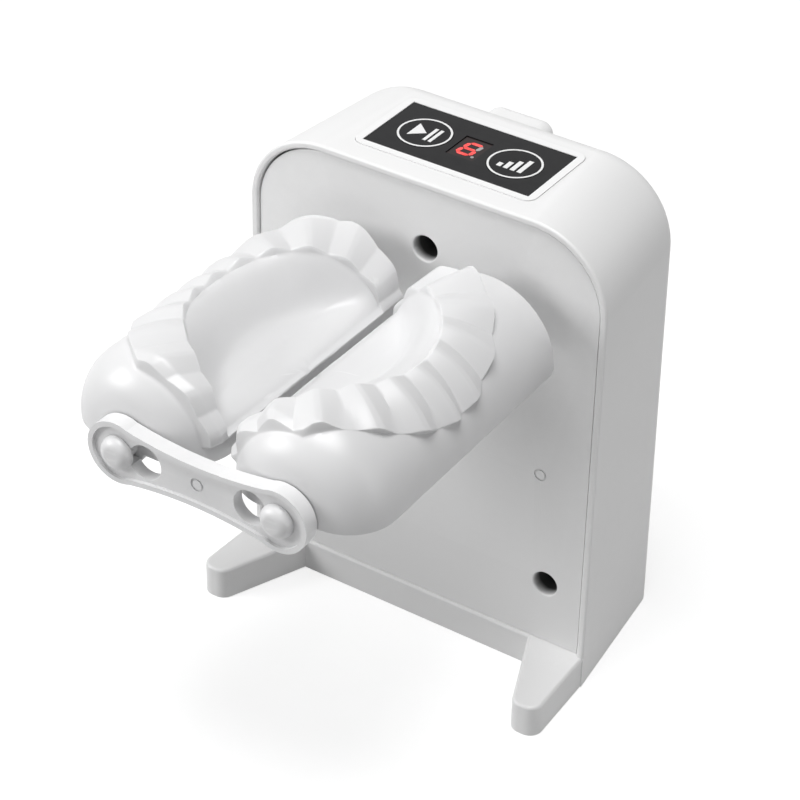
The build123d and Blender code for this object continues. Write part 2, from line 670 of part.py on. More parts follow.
def bar_outline(inset):
    """Outline of the connecting bar: round ends and a narrower waist."""
    with Locations((-AXIS_X, AXIS_Z), (AXIS_X, AXIS_Z)):
        Circle(BAR_END_R - inset)
    end_half = BAR_END_R - inset
    waist_half = BAR_WAIST - inset
    with BuildLine(mode=Mode.PRIVATE) as middle:
        low = ((-AXIS_X, AXIS_Z - end_half), (0, AXIS_Z - waist_half), (AXIS_X, AXIS_Z - end_half))
        high = ((AXIS_X, AXIS_Z + end_half), (0, AXIS_Z + waist_half), (-AXIS_X, AXIS_Z + end_half))
        ThreePointArc(*low)
        Line(low[-1], high[0])
        ThreePointArc(*high)
        Line(high[-1], low[0])
    make_face(middle.edges())


# Connecting bar: a sunk face inside a raised rim, and a keyhole beside each pin
with BuildPart() as connecting_bar:
    with BuildSketch(facing(BAR_BACK)):
        bar_outline(0)
    extrude(amount=BAR_T)
    with BuildSketch(facing(BAR_FRONT)):
        bar_outline(BAR_RIM)
    extrude(amount=-BAR_RECESS, mode=Mode.SUBTRACT)
    with BuildSketch(facing(BAR_FRONT)):
        for end in (-1, 1):
            seat = end * AXIS_X
            entry = end * (AXIS_X - KEYHOLE_OFFSET)
            with Locations((seat, AXIS_Z)):
                Circle(PIN_R + 0.08)
            with Locations((entry, AXIS_Z)):
                Circle(KEYHOLE_R)
            with Locations(((seat + entry) / 2, AXIS_Z)):
                Rectangle(KEYHOLE_OFFSET, 2 * SLOT_HALF)
    extrude(amount=-BAR_T, mode=Mode.SUBTRACT)
    mark_floor = BAR_FRONT + BAR_RECESS + MARK_DEPTH
    rod([(0, AXIS_Z)], MARK_R, BAR_FRONT + BAR_RECESS, mark_floor, mode=Mode.SUBTRACT)
    rod([(0, AXIS_Z)], MARK_R - MARK_LINE, BAR_FRONT + BAR_RECESS, mark_floor)
finish(connecting_bar, "connecting_bar")

# Control panel, set in the top of the housing
with BuildPart() as panel_frame:
    with BuildSketch(Plane.XY.offset(PANEL_FLOOR)):
        with Locations((0, PANEL_Y)):
            RectangleRounded(FILM[0] + 2 * FRAME_MARGIN, FILM[1] + 2 * FRAME_MARGIN, FRAME_R)
            Rectangle(*FILM, mode=Mode.SUBTRACT)
    extrude(amount=FILM_T + FRAME_RISE)
finish(panel_frame, "panel_frame")

with BuildPart() as panel_film:
    with BuildSketch(Plane.XY.offset(PANEL_FLOOR)):
        with Locations((0, PANEL_Y)):
            Rectangle(*FILM)
            Rectangle(*WINDOW, mode=Mode.SUBTRACT)
        with Locations((-BUTTON_X, PANEL_Y), (BUTTON_X, PANEL_Y)):
            Circle(BUTTON_R + FIT, mode=Mode.SUBTRACT)
    extrude(amount=FILM_T)
finish(panel_film, "panel_film")

for side, name in ((-1, "start"), (1, "mode")):
    spot = [(side * BUTTON_X, PANEL_Y)]
    flange_top = PANEL_FLOOR - FIT
    with BuildPart() as button:
        post(spot, BUTTON_R, flange_top, HEIGHT + BUTTON_RISE)
        post(spot, BUTTON_FLANGE_R, flange_top - 0.8, flange_top)
        post(spot, STEM_R, BOARD_TOP + SWITCH[1] - 0.6, flange_top - 0.8)
    finish(button, f"{name}_button")

with BuildPart() as tact_switches:
    with Locations(*[(side * BUTTON_X, PANEL_Y, BOARD_TOP) for side in (-1, 1)]):
        Box(SWITCH[0], SWITCH[0], SWITCH[1], align=(Align.CENTER, Align.CENTER, Align.MIN))
    wells = [(-BUTTON_X, PANEL_Y), (BUTTON_X, PANEL_Y)]
    well_floor = BOARD_TOP + SWITCH[1] - 1.6
    post(wells, STEM_R + 0.2, well_floor, BOARD_TOP + SWITCH[1], mode=Mode.SUBTRACT)
finish(tact_switches, "tact_switches")

with BuildPart() as display_module:
    with Locations((0, PANEL_Y, BOARD_TOP)):
        Box(*DISPLAY, PANEL_FLOOR - FIT - BOARD_TOP, align=(Align.CENTER, Align.CENTER, Align.MIN))
    with Locations((0, PANEL_Y, PANEL_FLOOR - FIT)):
        Box(
            WINDOW[0] - 2 * FIT,
            WINDOW[1] - 2 * FIT,
            FILM_T - 0.2,
            align=(Align.CENTER, Align.CENTER, Align.MIN),
        )
finish(display_module, "display_module")

with BuildPart() as control_board:
    with Locations((0, PANEL_Y, BOARD_TOP)):
        Box(*BOARD, align=(Align.CENTER, Align.CENTER, Align.MAX))
    post(PEGS, BOARD_SCREW_R, BOARD_TOP - BOARD[2], BOARD_TOP, mode=Mode.SUBTRACT)
finish(control_board, "control_board")

with BuildPart() as board_screws:
    board_back = BOARD_TOP - BOARD[2]
    post(PEGS, BOARD_SCREW_R, board_back, BOARD_TOP + 3)
    post(PEGS, BOARD_SCREW_HEAD[0], board_back - BOARD_SCREW_HEAD[1], board_back)
finish(board_screws, "board_screws")

# Battery cell in its tray on the base deck, a contact at each end
with BuildPart() as battery_tray:
    half_tray = CELL_L / 2 + CONTACT_T + TRAY_END
    tray_y = (CELL_Y - CELL_R - 1.6, CELL_Y + CELL_R + 1.6)
    block((-half_tray, half_tray), tray_y, (BASE_H, CELL_Z + 2))
    with BuildSketch(Plane.YZ.offset(-CELL_L / 2 - CONTACT_T)):
        with Locations((CELL_Y, CELL_Z)):
            Circle(CELL_R)
            Rectangle(2 * CELL_R, 2 * CELL_R, align=(Align.CENTER, Align.MIN))
    extrude(amount=CELL_L + 2 * CONTACT_T, mode=Mode.SUBTRACT)
finish(battery_tray, "battery_tray")

with BuildPart() as battery_cell:
    with BuildSketch(Plane.YZ.offset(-CELL_L / 2)):
        with Locations((CELL_Y, CELL_Z)):
            Circle(CELL_R)
    extrude(amount=CELL_L - 1)
    with BuildSketch(Plane.YZ.offset(CELL_L / 2 - 1)):
        with Locations((CELL_Y, CELL_Z)):
            Circle(2.8)
    extrude(amount=1)
finish(battery_cell, "battery_cell")

with BuildPart() as battery_contacts:
    for start in (-CELL_L / 2 - CONTACT_T, CELL_L / 2):
        with BuildSketch(Plane.YZ.offset(start)):
            with Locations((CELL_Y, CELL_Z)):
                Circle(CELL_R - 1.2)
        extrude(amount=CONTACT_T)
finish(battery_contacts, "battery_contacts")

# Raised housing for the charging port, high on the back
with BuildPart() as port_housing:
    with BuildSketch(facing(PORT_BOX_Y)) as box_face:
        with Locations((0, PORT_BOX_Z)):
            RectangleRounded(*PORT_BOX)
    extrude(amount=PORT_BOX_Y - BACK_TOP_Y + BACK_EDGE_R + 2)
    box_back = port_housing.faces().sort_by(Axis.Y)[-1]
    fillet(box_back.edges(), PORT_EDGE_R)
    add(OUTER, mode=Mode.SUBTRACT)
    with BuildSketch(facing(PORT_BOX_Y - PORT_WALL)):
        with Locations((0, PORT_BOX_Z)):
            Rectangle(PORT_BOX[0] - 2 * PORT_WALL, PORT_BOX[1] - 8)
    extrude(amount=PORT_BOX_Y, mode=Mode.SUBTRACT)
    with BuildSketch(facing(PORT_BOX_Y)):
        with Locations((0, PORT_BOX_Z)):
            Rectangle(PORT[0], PORT[1])
    extrude(amount=PORT_WALL, mode=Mode.SUBTRACT)
finish(port_housing, "port_housing")

with BuildPart() as charging_port:
    half_x = PORT[0] / 2
    half_z = PORT[1] / 2
    port_back = PORT_BOX_Y - 0.2
    port_y = (port_back - PORT[2], port_back)
    block((-half_x, half_x), port_y, (PORT_BOX_Z - half_z, PORT_BOX_Z + half_z))
    mouth_x = (-half_x + PORT_SHELL, half_x - PORT_SHELL)
    mouth_z = (PORT_BOX_Z - half_z + PORT_SHELL, PORT_BOX_Z + half_z - PORT_SHELL)
    block(mouth_x, (port_y[0] + 0.5, port_back), mouth_z, mode=Mode.SUBTRACT)
    tongue_z = (PORT_BOX_Z - PORT_TONGUE[1] / 2, PORT_BOX_Z + PORT_TONGUE[1] / 2)
    block((-PORT_TONGUE[0] / 2, PORT_TONGUE[0] / 2), (port_y[0], port_back - 0.8), tongue_z)
finish(charging_port, "charging_port")
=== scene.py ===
import json
import math

import bmesh
import bpy
from mathutils import Matrix, Vector


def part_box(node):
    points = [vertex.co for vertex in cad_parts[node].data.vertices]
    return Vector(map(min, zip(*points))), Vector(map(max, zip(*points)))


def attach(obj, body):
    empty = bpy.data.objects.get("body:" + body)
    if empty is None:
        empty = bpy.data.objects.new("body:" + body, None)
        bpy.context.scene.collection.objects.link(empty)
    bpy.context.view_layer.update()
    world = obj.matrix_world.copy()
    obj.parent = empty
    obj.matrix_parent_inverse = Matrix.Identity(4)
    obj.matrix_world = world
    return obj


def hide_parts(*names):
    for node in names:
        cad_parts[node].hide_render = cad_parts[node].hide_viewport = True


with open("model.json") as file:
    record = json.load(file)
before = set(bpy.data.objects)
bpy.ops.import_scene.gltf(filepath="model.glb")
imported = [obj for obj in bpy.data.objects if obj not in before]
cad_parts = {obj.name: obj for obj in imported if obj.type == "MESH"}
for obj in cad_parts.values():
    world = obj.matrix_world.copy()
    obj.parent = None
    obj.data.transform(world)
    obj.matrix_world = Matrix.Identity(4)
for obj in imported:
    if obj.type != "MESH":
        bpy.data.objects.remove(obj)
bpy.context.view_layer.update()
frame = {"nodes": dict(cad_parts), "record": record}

bl_info = {
    "name": "Dumpling Maker Looks",
    "version": (1, 0, 0),
    "blender": (4, 5, 0),
    "location": "View3D > Sidebar > Dumpling",
    "description": "Pleated half-moon moulds, panel marks, finishes and a photo stage for a dumpling maker",
    "category": "Object",
}

MM = 0.001
LEFT = -1
RIGHT = 1


# Places taken from the frame


def joint_point(name):
    """Point on a joint's axis, in metres."""
    for joint in frame["record"]["behaviour"]["joints"]:
        if joint["name"] == name:
            return Vector(joint["pos_m"])
    raise RuntimeError(f"the record has no joint {name}")


def node_size(name):
    """Lowest corner, highest corner and middle of a construction piece."""
    low, high = (Vector(corner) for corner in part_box(name))
    return low, high, (low + high) / 2


# Settings


def length(name, text, value, low=0.0, high=1.0):
    """A length setting, held in metres."""
    return bpy.props.FloatProperty(
        name=name,
        description=text,
        default=value,
        min=low,
        max=high,
        precision=5,
        subtype="DISTANCE",
        unit="LENGTH",
    )


def colour(name, text, value):
    """A colour setting."""
    return bpy.props.FloatVectorProperty(
        name=name, description=text, default=value, min=0.0, max=1.0, size=3, subtype="COLOR"
    )


def angle(name, text, degrees):
    """An angle setting, given in degrees and held in radians."""
    return bpy.props.FloatProperty(
        name=name, description=text, default=math.radians(degrees), subtype="ANGLE", unit="ROTATION"
    )


def power(name, text, watts):
    """A setting for a lamp's power, in watts."""
    return bpy.props.FloatProperty(name=name, description=text, default=watts, subtype="POWER")


class MouldSettings(bpy.types.PropertyGroup):
    """Sizes of the half-moon moulds."""

    rim_radius: length("Rim radius", "Radius of the pleat ridges about the roller axis", 24.6 * MM)
    back_radius: length("Back radius", "Skin radius at the housing end", 21.4 * MM)
    front_radius: length("Front radius", "Skin radius at the free end", 23.0 * MM)
    dome: length("Front rounding", "Rounding of the free end", 14.0 * MM)
    back_round: length("Back rounding", "Rounding of the housing end", 0.8 * MM)
    undercut: length("Undercut", "How far the skin goes below the axis", 1.5 * MM)
    shell: length("Shell", "Wall thickness at the underside", 2.4 * MM)
    lip_angle: angle("Lip angle", "Where the pocket's straight edge lies, up from the nip", 13.0)
    lip_radius: length("Lip radius", "Radius of the thin lip along the pocket's straight edge", 24.4 * MM)
    outer_round: length("Fan reach round", "Fan's outer edge, measured round the roller", 66.0 * MM)
    outer_along: length("Fan reach along", "Fan's outer edge, measured along the roller", 53.5 * MM)
    front_limit: length("Fan front", "Greatest reach of the fan towards the front", 40.6 * MM)
    back_limit: length("Fan back", "Greatest reach of the fan towards the housing", 45.3 * MM)
    outer_power: bpy.props.FloatProperty(
        name="Fan fullness", description="Roundness of the outer edge", default=1.7
    )
    inner_round: length("Pocket reach round", "Pocket edge, measured round the roller", 47.0 * MM)
    inner_along: length("Pocket reach along", "Pocket edge, measured along the roller", 35.0 * MM)
    pleats: bpy.props.IntProperty(
        name="Pleats", description="Pleats round the fan", default=12, min=4, max=30
    )
    rise: length("Ridge rise", "Greatest height of the ridges above the skin", 3.0 * MM)
    inner_depth: length("Pleat depth inside", "Ridge to valley beside the pocket", 1.2 * MM)
    left_depth: length("Left pleat depth", "Ridge to valley at the left mould's outer edge", 1.2 * MM)
    right_depth: length("Right pleat depth", "Ridge to valley at the right mould's outer edge", 2.5 * MM)
    wall: length("Pocket wall", "Height of the wall between pocket and pleats", 1.9 * MM)
    chord: length("Pocket chord", "Distance of the pocket's flat chord from the axis", 15.0 * MM)
    bowl: length("Pocket bowl", "Depth of the bowl below that chord", 3.6 * MM)
    chord_angle: angle("Pocket direction", "Direction the pocket faces, up from the nip", 61.0)
    socket_radius: length("Socket boss radius", "Outside of the boss round the drive socket", 10.0 * MM)
    socket_bore: length("Socket bore", "Bore that holds the drive socket", 8.0 * MM)
    socket_length: length("Socket boss length", "Length of that boss", 14.0 * MM)
    pin_radius: length("Pin boss radius", "Outside of the boss round the front pin", 5.5 * MM)
    pin_bore: length("Pin bore", "Bore that holds the front pin", 3.0 * MM)
    pin_length: length("Pin boss length", "Length of that boss", 9.0 * MM)


class PanelSettings(bpy.types.PropertyGroup):
    """Sizes and colours of the marks on the control panel."""

    ring_width: length("Ring width", "Width of the pale ring round each button", 0.62 * MM)
    ring_inset: length("Ring inset", "Distance of the ring from the button's edge", 0.12 * MM)
    print_height: length("Print height", "Thickness of the printed marks", 0.05 * MM)
    mark_size: length("Mark size", "Height of the sign on each button", 7.2 * MM)
    digit_height: length("Digit height", "Height of the display digit", 7.4 * MM)
    digit_width: length("Digit width", "Width of the display digit", 5.2 * MM)
    stroke: length("Digit stroke", "Width of each display bar", 1.15 * MM)
    slant: angle("Digit slant", "Lean of the digit", 8.0)
    mark_colour: colour("Mark colour", "Printed rings and signs", (0.80, 0.80, 0.80))
    lit_colour: colour("Lit colour", "Display bars that are on", (0.90, 0.035, 0.03))
    unlit_colour: colour("Unlit colour", "Display bars that are off", (0.22, 0.20, 0.20))


class FinishSettings(bpy.types.PropertyGroup):
    """Colours of the finishes."""

    housing: colour("Housing", "Satin white plastic of housing and base", (0.80, 0.80, 0.80))
    plate: colour("Front plate", "Matt light grey plastic of the front plate", (0.80, 0.80, 0.80))
    mould: colour("Moulds", "Satin white plastic of the moulds and the bar", (0.72, 0.72, 0.725))
    port: colour("Port", "White plastic of the charging port housing", (0.80, 0.80, 0.80))
    film: colour("Panel film", "Gloss black film", (0.008, 0.008, 0.009))
    display: colour("Display", "Dark display window", (0.02, 0.012, 0.012))
    steel: colour("Steel", "Plated steel", (0.56, 0.56, 0.58))
    # plate screws: steel made dark as painted shade of the deep holes they sit in
    blackened: colour("Blackened steel", "Plate screws", (0.06, 0.06, 0.065))
    brass: colour("Brass", "Bushes and contacts", (0.72, 0.50, 0.20))
    gear: colour("Gears", "Natural white gears", (0.74, 0.72, 0.66))
    inner: colour("Inner black", "Black inner parts", (0.03, 0.03, 0.032))
    board: colour("Board", "Green circuit board", (0.02, 0.13, 0.05))
    cell: colour("Cell wrap", "Blue shrink wrap of the cell", (0.05, 0.16, 0.45))


class StageSettings(bpy.types.PropertyGroup):
    """Camera, light and floor."""

    azimuth: angle("Azimuth", "Camera turn about the object", 33.007)
    elevation: angle("Elevation", "Camera height above the horizon", 35.026)
    roll: angle("Roll", "Camera roll", 1.221)
    distance: length("Distance", "Camera distance", 843.8 * MM, high=5.0)
    shift_right: length("Right", "Camera place to the right of the origin", -17.31 * MM, low=-1.0)
    shift_up: length("Up", "Camera place above the origin", 52.52 * MM, low=-1.0)
    lens: bpy.props.FloatProperty(
        name="Lens", description="Focal length", default=124.80, subtype="DISTANCE_CAMERA"
    )
    key_power: power("Key", "Power of the main lamp", 7.1)
    top_power: power("Top", "Power of the lamp above", 8.8)
    side_power: power("Side", "Power of the right lamp", 1.0)
    fill: bpy.props.FloatProperty(
        name="Fill", description="Strength of the surrounding light", default=0.12
    )
    floor_colour: colour("Floor", "Plain pale floor", (0.55, 0.55, 0.55))


SETTINGS = {
    "dumpling_mould": MouldSettings,
    "dumpling_panel": PanelSettings,
    "dumpling_finish": FinishSettings,
    "dumpling_stage": StageSettings,
}


# Shader helpers and shared effects

FLOAT = "NodeSocketFloat"
COLOUR = "NodeSocketColor"
PLACE = "NodeSocketVector"

# Sockets of the mix node when it mixes colours
MIX_AMOUNT = 0
MIX_FIRST = 6
MIX_SECOND = 7
MIX_RESULT = 2

NOISE_MIDDLE = 0.5


def add_node(tree, kind, **values):
    """A shader node with its attributes set."""
    node = tree.nodes.new(kind)
    for key, value in values.items():
        setattr(node, key, value)
    return node


def feed(tree, socket, value):
    """Links a socket into another one, or sets a plain value on it."""
    if isinstance(value, bpy.types.NodeSocket):
        tree.links.new(value, socket)
    else:
        socket.default_value = value


def opaque(base):
    """A plain colour with full alpha, as sockets take it."""
    return (*base, 1.0)


def number(tree, operation, first, second, clamp=False):
    """A math node; each input is a socket or a plain number."""
    node = add_node(tree, "ShaderNodeMath", operation=operation, use_clamp=clamp)
    feed(tree, node.inputs[0], first)
    feed(tree, node.inputs[1], second)
    return node.outputs[0]


def mixed(tree, amount, first, second):
    """A colour between two colours; each input is a socket or a plain colour."""
    node = add_node(tree, "ShaderNodeMix", data_type="RGBA")
    feed(tree, node.inputs[MIX_AMOUNT], amount)
    feed(tree, node.inputs[MIX_FIRST], first)
    feed(tree, node.inputs[MIX_SECOND], second)
    return node.outputs[MIX_RESULT]


def noise(tree, place, scale, detail=2.0, roughness=0.5):
    """Noise value at a place; scale is in patches per metre."""
    node = add_node(tree, "ShaderNodeTexNoise")
    tree.links.new(place, node.inputs["Vector"])
    node.inputs["Detail"].default_value = detail
    node.inputs["Roughness"].default_value = roughness
    feed(tree, node.inputs["Scale"], scale)
    return node.outputs["Fac"]


def swing(tree, value):
    """Noise value moved so that it swings about 0."""
    return number(tree, "SUBTRACT", value, NOISE_MIDDLE)


def spread(tree, value, low, high):
    """Stretch of a value from low..high to 0..1."""
    node = add_node(tree, "ShaderNodeMapRange", clamp=True)
    tree.links.new(value, node.inputs["Value"])
    node.inputs["From Min"].default_value = low
    node.inputs["From Max"].default_value = high
    return node.outputs["Result"]


def effect(name, inputs, outputs, build):
    """A shared shader effect, made once; build(tree, start, end) wires it."""
    if name in bpy.data.node_groups:
        return bpy.data.node_groups[name]
    group = bpy.data.node_groups.new(name, "ShaderNodeTree")
    for label, kind, value in inputs:
        socket = group.interface.new_socket(name=label, in_out="INPUT", socket_type=kind)
        if value is not None:
            socket.default_value = value
    for label, kind in outputs:
        group.interface.new_socket(name=label, in_out="OUTPUT", socket_type=kind)
    start = group.nodes.new("NodeGroupInput")
    end = group.nodes.new("NodeGroupOutput")
    build(group, start.outputs, end.inputs)
    return group


def moulding_grain():
    """Fine skin of moulded plastic: orange peel and slow waves, with a faint cloud in the colour."""
    peel_share = 0.35
    wave_share = 0.65
    wave_scale = 0.12

    def build(tree, start, end):
        fine = noise(tree, start["Place"], start["Grain Scale"], detail=3.0, roughness=0.6)
        coarse_scale = number(tree, "MULTIPLY", start["Grain Scale"], wave_scale)
        wave = noise(tree, start["Place"], coarse_scale, detail=1.0, roughness=0.4)
        peel = number(tree, "MULTIPLY", fine, peel_share)
        height = number(tree, "ADD", peel, number(tree, "MULTIPLY", wave, wave_share))
        tree.links.new(height, end["Height"])
        cloud = noise(tree, start["Place"], start["Cloud Scale"], detail=4.0, roughness=0.55)
        shift = number(tree, "MULTIPLY", swing(tree, cloud), start["Colour Change"])
        factor = number(tree, "ADD", 1.0, shift)
        scaled = add_node(tree, "ShaderNodeVectorMath", operation="SCALE")
        tree.links.new(start["Colour"], scaled.inputs[0])
        tree.links.new(factor, scaled.inputs["Scale"])
        tree.links.new(scaled.outputs[0], end["Colour"])
        rough = number(tree, "MULTIPLY", swing(tree, fine), start["Roughness Change"])
        tree.links.new(number(tree, "ADD", start["Roughness"], rough, clamp=True), end["Roughness"])

    inputs = (
        ("Place", PLACE, None),
        ("Colour", COLOUR, (0.8, 0.8, 0.8, 1.0)),
        ("Colour Change", FLOAT, 0.03),
        ("Cloud Scale", FLOAT, 25.0),
        ("Grain Scale", FLOAT, 2500.0),
        ("Roughness", FLOAT, 0.4),
        ("Roughness Change", FLOAT, 0.1),
    )
    outputs = (("Colour", COLOUR), ("Roughness", FLOAT), ("Height", FLOAT))
    return effect("Moulding Grain", inputs, outputs, build)


def handling_smudges():
    """Faint greasy patches and wiping streaks that change the gloss."""
    wipe_stretch = (1.0, 0.16, 0.5)
    wipe_turn = (0.3, 0.2, 0.7)
    streaks_per_metre = 420.0
    plain_share = 0.55
    streak_share = 0.45

    def build(tree, start, end):
        cloud = noise(tree, start["Place"], start["Patch Scale"], detail=3.0, roughness=0.6)
        patches = spread(tree, cloud, low=0.46, high=0.72)
        stretch = add_node(tree, "ShaderNodeMapping")
        stretch.inputs["Scale"].default_value = wipe_stretch
        stretch.inputs["Rotation"].default_value = wipe_turn
        tree.links.new(start["Place"], stretch.inputs["Vector"])
        streaks = spread(tree, noise(tree, stretch.outputs[0], streaks_per_metre), low=0.5, high=0.8)
        streaked = number(tree, "MULTIPLY", streaks, streak_share)
        mask = number(tree, "MULTIPLY", patches, number(tree, "ADD", plain_share, streaked))
        gloss = number(tree, "MULTIPLY", mask, start["Gloss Change"])
        tree.links.new(number(tree, "ADD", start["Roughness"], gloss, clamp=True), end["Roughness"])

    inputs = (
        ("Place", PLACE, None),
        ("Patch Scale", FLOAT, 18.0),
        ("Roughness", FLOAT, 0.4),
        ("Gloss Change", FLOAT, 0.05),
    )
    return effect("Handling Smudges", inputs, (("Roughness", FLOAT),), build)


def edge_sheen_and_crease_shade():
    """Painted highlight on the raised edges, patchy like rubbed wear, and painted shade in the creases."""
    least_edge_sheen = 0.35

    def build(tree, start, end):
        pointed = add_node(tree, "ShaderNodeNewGeometry").outputs["Pointiness"]
        patch = noise(tree, start["Place"], start["Patch Scale"], detail=3.0, roughness=0.6)
        # painted highlight on the raised edges, brighter in patches
        edge = spread(tree, pointed, low=0.51, high=0.60)
        edge_sheen = number(tree, "MULTIPLY", edge, number(tree, "ADD", least_edge_sheen, patch), clamp=True)
        edge_sheen = number(tree, "MULTIPLY", edge_sheen, start["Edge Amount"], clamp=True)
        # painted shade in the creases
        crease = number(tree, "SUBTRACT", 1.0, spread(tree, pointed, low=0.38, high=0.49))
        crease_shade = number(tree, "MULTIPLY", crease, start["Crease Amount"], clamp=True)
        sheened = mixed(tree, edge_sheen, start["Colour"], start["Edge Colour"])
        tree.links.new(mixed(tree, crease_shade, sheened, start["Crease Colour"]), end["Colour"])

    inputs = (
        ("Place", PLACE, None),
        ("Colour", COLOUR, (0.8, 0.8, 0.8, 1.0)),
        ("Edge Colour", COLOUR, (0.95, 0.95, 0.95, 1.0)),
        ("Crease Colour", COLOUR, (0.5, 0.5, 0.5, 1.0)),
        ("Patch Scale", FLOAT, 300.0),
        ("Edge Amount", FLOAT, 0.5),
        ("Crease Amount", FLOAT, 0.2),
    )
    return effect("Edge Wear", inputs, (("Colour", COLOUR),), build)


def sunk_shade():
    """Painted shade inside deep holes, darker by the distance behind the piece's face."""

    def build(tree, start, end):
        split = add_node(tree, "ShaderNodeSeparateXYZ")
        tree.links.new(start["Place"], split.inputs[0])
        behind = number(tree, "SUBTRACT", split.outputs["Y"], start["Face"])
        depth = number(tree, "DIVIDE", behind, start["Reach"], clamp=True)
        tree.links.new(mixed(tree, depth, start["Colour"], start["Sunk Colour"]), end["Colour"])

    inputs = (
        ("Place", PLACE, None),
        ("Colour", COLOUR, (0.8, 0.8, 0.8, 1.0)),
        ("Sunk Colour", COLOUR, (0.1, 0.1, 0.1, 1.0)),
        ("Face", FLOAT, 0.0),
        ("Reach", FLOAT, 0.003),
    )
    return effect("Sunk Shade", inputs, (("Colour", COLOUR),), build)


def brushed_lines():
    """Fine turning or drawing lines of worked metal along one direction."""
    line_stretch = (1.0, 0.02, 1.0)

    def build(tree, start, end):
        stretch = add_node(tree, "ShaderNodeMapping")
        stretch.inputs["Scale"].default_value = line_stretch
        tree.links.new(start["Place"], stretch.inputs["Vector"])
        lines = noise(tree, stretch.outputs[0], start["Line Scale"], detail=3.0, roughness=0.7)
        tree.links.new(lines, end["Height"])
        change = number(tree, "MULTIPLY", swing(tree, lines), start["Roughness Change"])
        tree.links.new(number(tree, "ADD", start["Roughness"], change, clamp=True), end["Roughness"])

    inputs = (
        ("Place", PLACE, None),
        ("Line Scale", FLOAT, 4000.0),
        ("Roughness", FLOAT, 0.3),
        ("Roughness Change", FLOAT, 0.3),
    )
    return effect("Brushed Lines", inputs, (("Height", FLOAT), ("Roughness", FLOAT)), build)


def place_effect(tree, group, **links):
    """A shared effect placed in a material; each value is a socket, a number or a colour."""
    node = add_node(tree, "ShaderNodeGroup", node_tree=group)
    for key, value in links.items():
        socket = node.inputs[key.replace("_", " ")]
        feed(tree, socket, opaque(value) if isinstance(value, tuple) else value)
    return node.outputs


def fresh_material(name):
    """An empty node material with its shader, output and object place."""
    material = bpy.data.materials.new(name)
    material.use_nodes = True
    tree = material.node_tree
    tree.nodes.clear()
    shader = add_node(tree, "ShaderNodeBsdfPrincipled")
    output = add_node(tree, "ShaderNodeOutputMaterial")
    tree.links.new(shader.outputs[0], output.inputs["Surface"])
    place = add_node(tree, "ShaderNodeTexCoord").outputs["Object"]
    return material, tree, shader, place


def relief(tree, shader, height, strength, distance):
    """Bump from a height that changes over the surface."""
    bump = add_node(tree, "ShaderNodeBump")
    bump.inputs["Strength"].default_value = strength
    bump.inputs["Distance"].default_value = distance
    tree.links.new(height, bump.inputs["Height"])
    tree.links.new(bump.outputs[0], shader.inputs["Normal"])


def tinted(base, share):
    """A colour moved towards white by a share, or towards black by a negative share."""
    end = 1.0 if share > 0 else 0.0
    return tuple(part + (end - part) * abs(share) for part in base)


# Shares by which a finish's colour moves towards white, or towards black if negative; the edge shares paint
# highlight on edges, the crease and sunk shares paint shade in creases and holes
PLASTIC_EDGE_SHEEN_TINT = 0.45
PLASTIC_CREASE_SHADE_TINT = -0.3
SUNK_SHADE_TINT = -0.93
METAL_EDGE_SHEEN_TINT = 0.4
METAL_CREASE_SHADE_TINT = -0.5
TRACK_TINT = 0.03
TRACK_GAP_TINT = 0.12
GLOW_DIM_TINT = -0.15
GLOW_BRIGHT_TINT = 0.06
FLOOR_DARK_TINT = -0.02
FLOOR_PALE_TINT = 0.1


def plastic(
    name,
    base,
    roughness=0.4,
    grain=1800.0,
    depth=0.012,
    change=0.03,
    edge=0.5,
    smudge=0.06,
    shine=0.5,
    sunk=None,
):
    """Moulded plastic with grain, smudges, painted highlight on its edges, painted shade in its creases and,
    if sunk is given, painted shade in its holes; depth is the grain's, in millimetres.
    """
    material, tree, shader, place = fresh_material(name)
    grained = place_effect(
        tree,
        moulding_grain(),
        Place=place,
        Colour=base,
        Colour_Change=change,
        Grain_Scale=grain,
        Roughness=roughness,
    )
    # painted highlight on the edges and painted shade in the creases
    edge_sheen = place_effect(
        tree,
        edge_sheen_and_crease_shade(),
        Place=place,
        Colour=grained["Colour"],
        Edge_Colour=tinted(base, PLASTIC_EDGE_SHEEN_TINT),
        Crease_Colour=tinted(base, PLASTIC_CREASE_SHADE_TINT),
        Edge_Amount=edge,
        Crease_Amount=0.25,
    )
    smudged = place_effect(
        tree, handling_smudges(), Place=place, Roughness=grained["Roughness"], Gloss_Change=smudge
    )
    colour_now = edge_sheen["Colour"]
    # painted shade deep in the holes
    if sunk:
        face, reach = sunk
        shaded = place_effect(
            tree,
            sunk_shade(),
            Place=place,
            Colour=colour_now,
            Sunk_Colour=tinted(base, SUNK_SHADE_TINT),
            Face=face,
            Reach=reach,
        )
        colour_now = shaded["Colour"]
    tree.links.new(colour_now, shader.inputs["Base Color"])
    tree.links.new(smudged["Roughness"], shader.inputs["Roughness"])
    relief(tree, shader, grained["Height"], strength=0.35, distance=depth * MM)
    shader.inputs["Specular IOR Level"].default_value = shine
    return material


def metal(name, base, roughness=0.3, lines=4000.0):
    """Worked metal with drawing lines, dulled patches, painted highlight on its edges and painted shade in
    its creases.
    """
    material, tree, shader, place = fresh_material(name)
    brushed = place_effect(tree, brushed_lines(), Place=place, Line_Scale=lines, Roughness=roughness)
    # painted highlight on the edges and painted shade in the creases
    edge_sheen = place_effect(
        tree,
        edge_sheen_and_crease_shade(),
        Place=place,
        Colour=base,
        Edge_Colour=tinted(base, METAL_EDGE_SHEEN_TINT),
        Crease_Colour=tinted(base, METAL_CREASE_SHADE_TINT),
        Edge_Amount=0.7,
        Crease_Amount=0.4,
    )
    smudged = place_effect(
        tree, handling_smudges(), Place=place, Roughness=brushed["Roughness"], Gloss_Change=0.12
    )
    tree.links.new(edge_sheen["Colour"], shader.inputs["Base Color"])
    tree.links.new(smudged["Roughness"], shader.inputs["Roughness"])
    relief(tree, shader, brushed["Height"], strength=0.25, distance=0.01 * MM)
    shader.inputs["Metallic"].default_value = 1.0
    return material


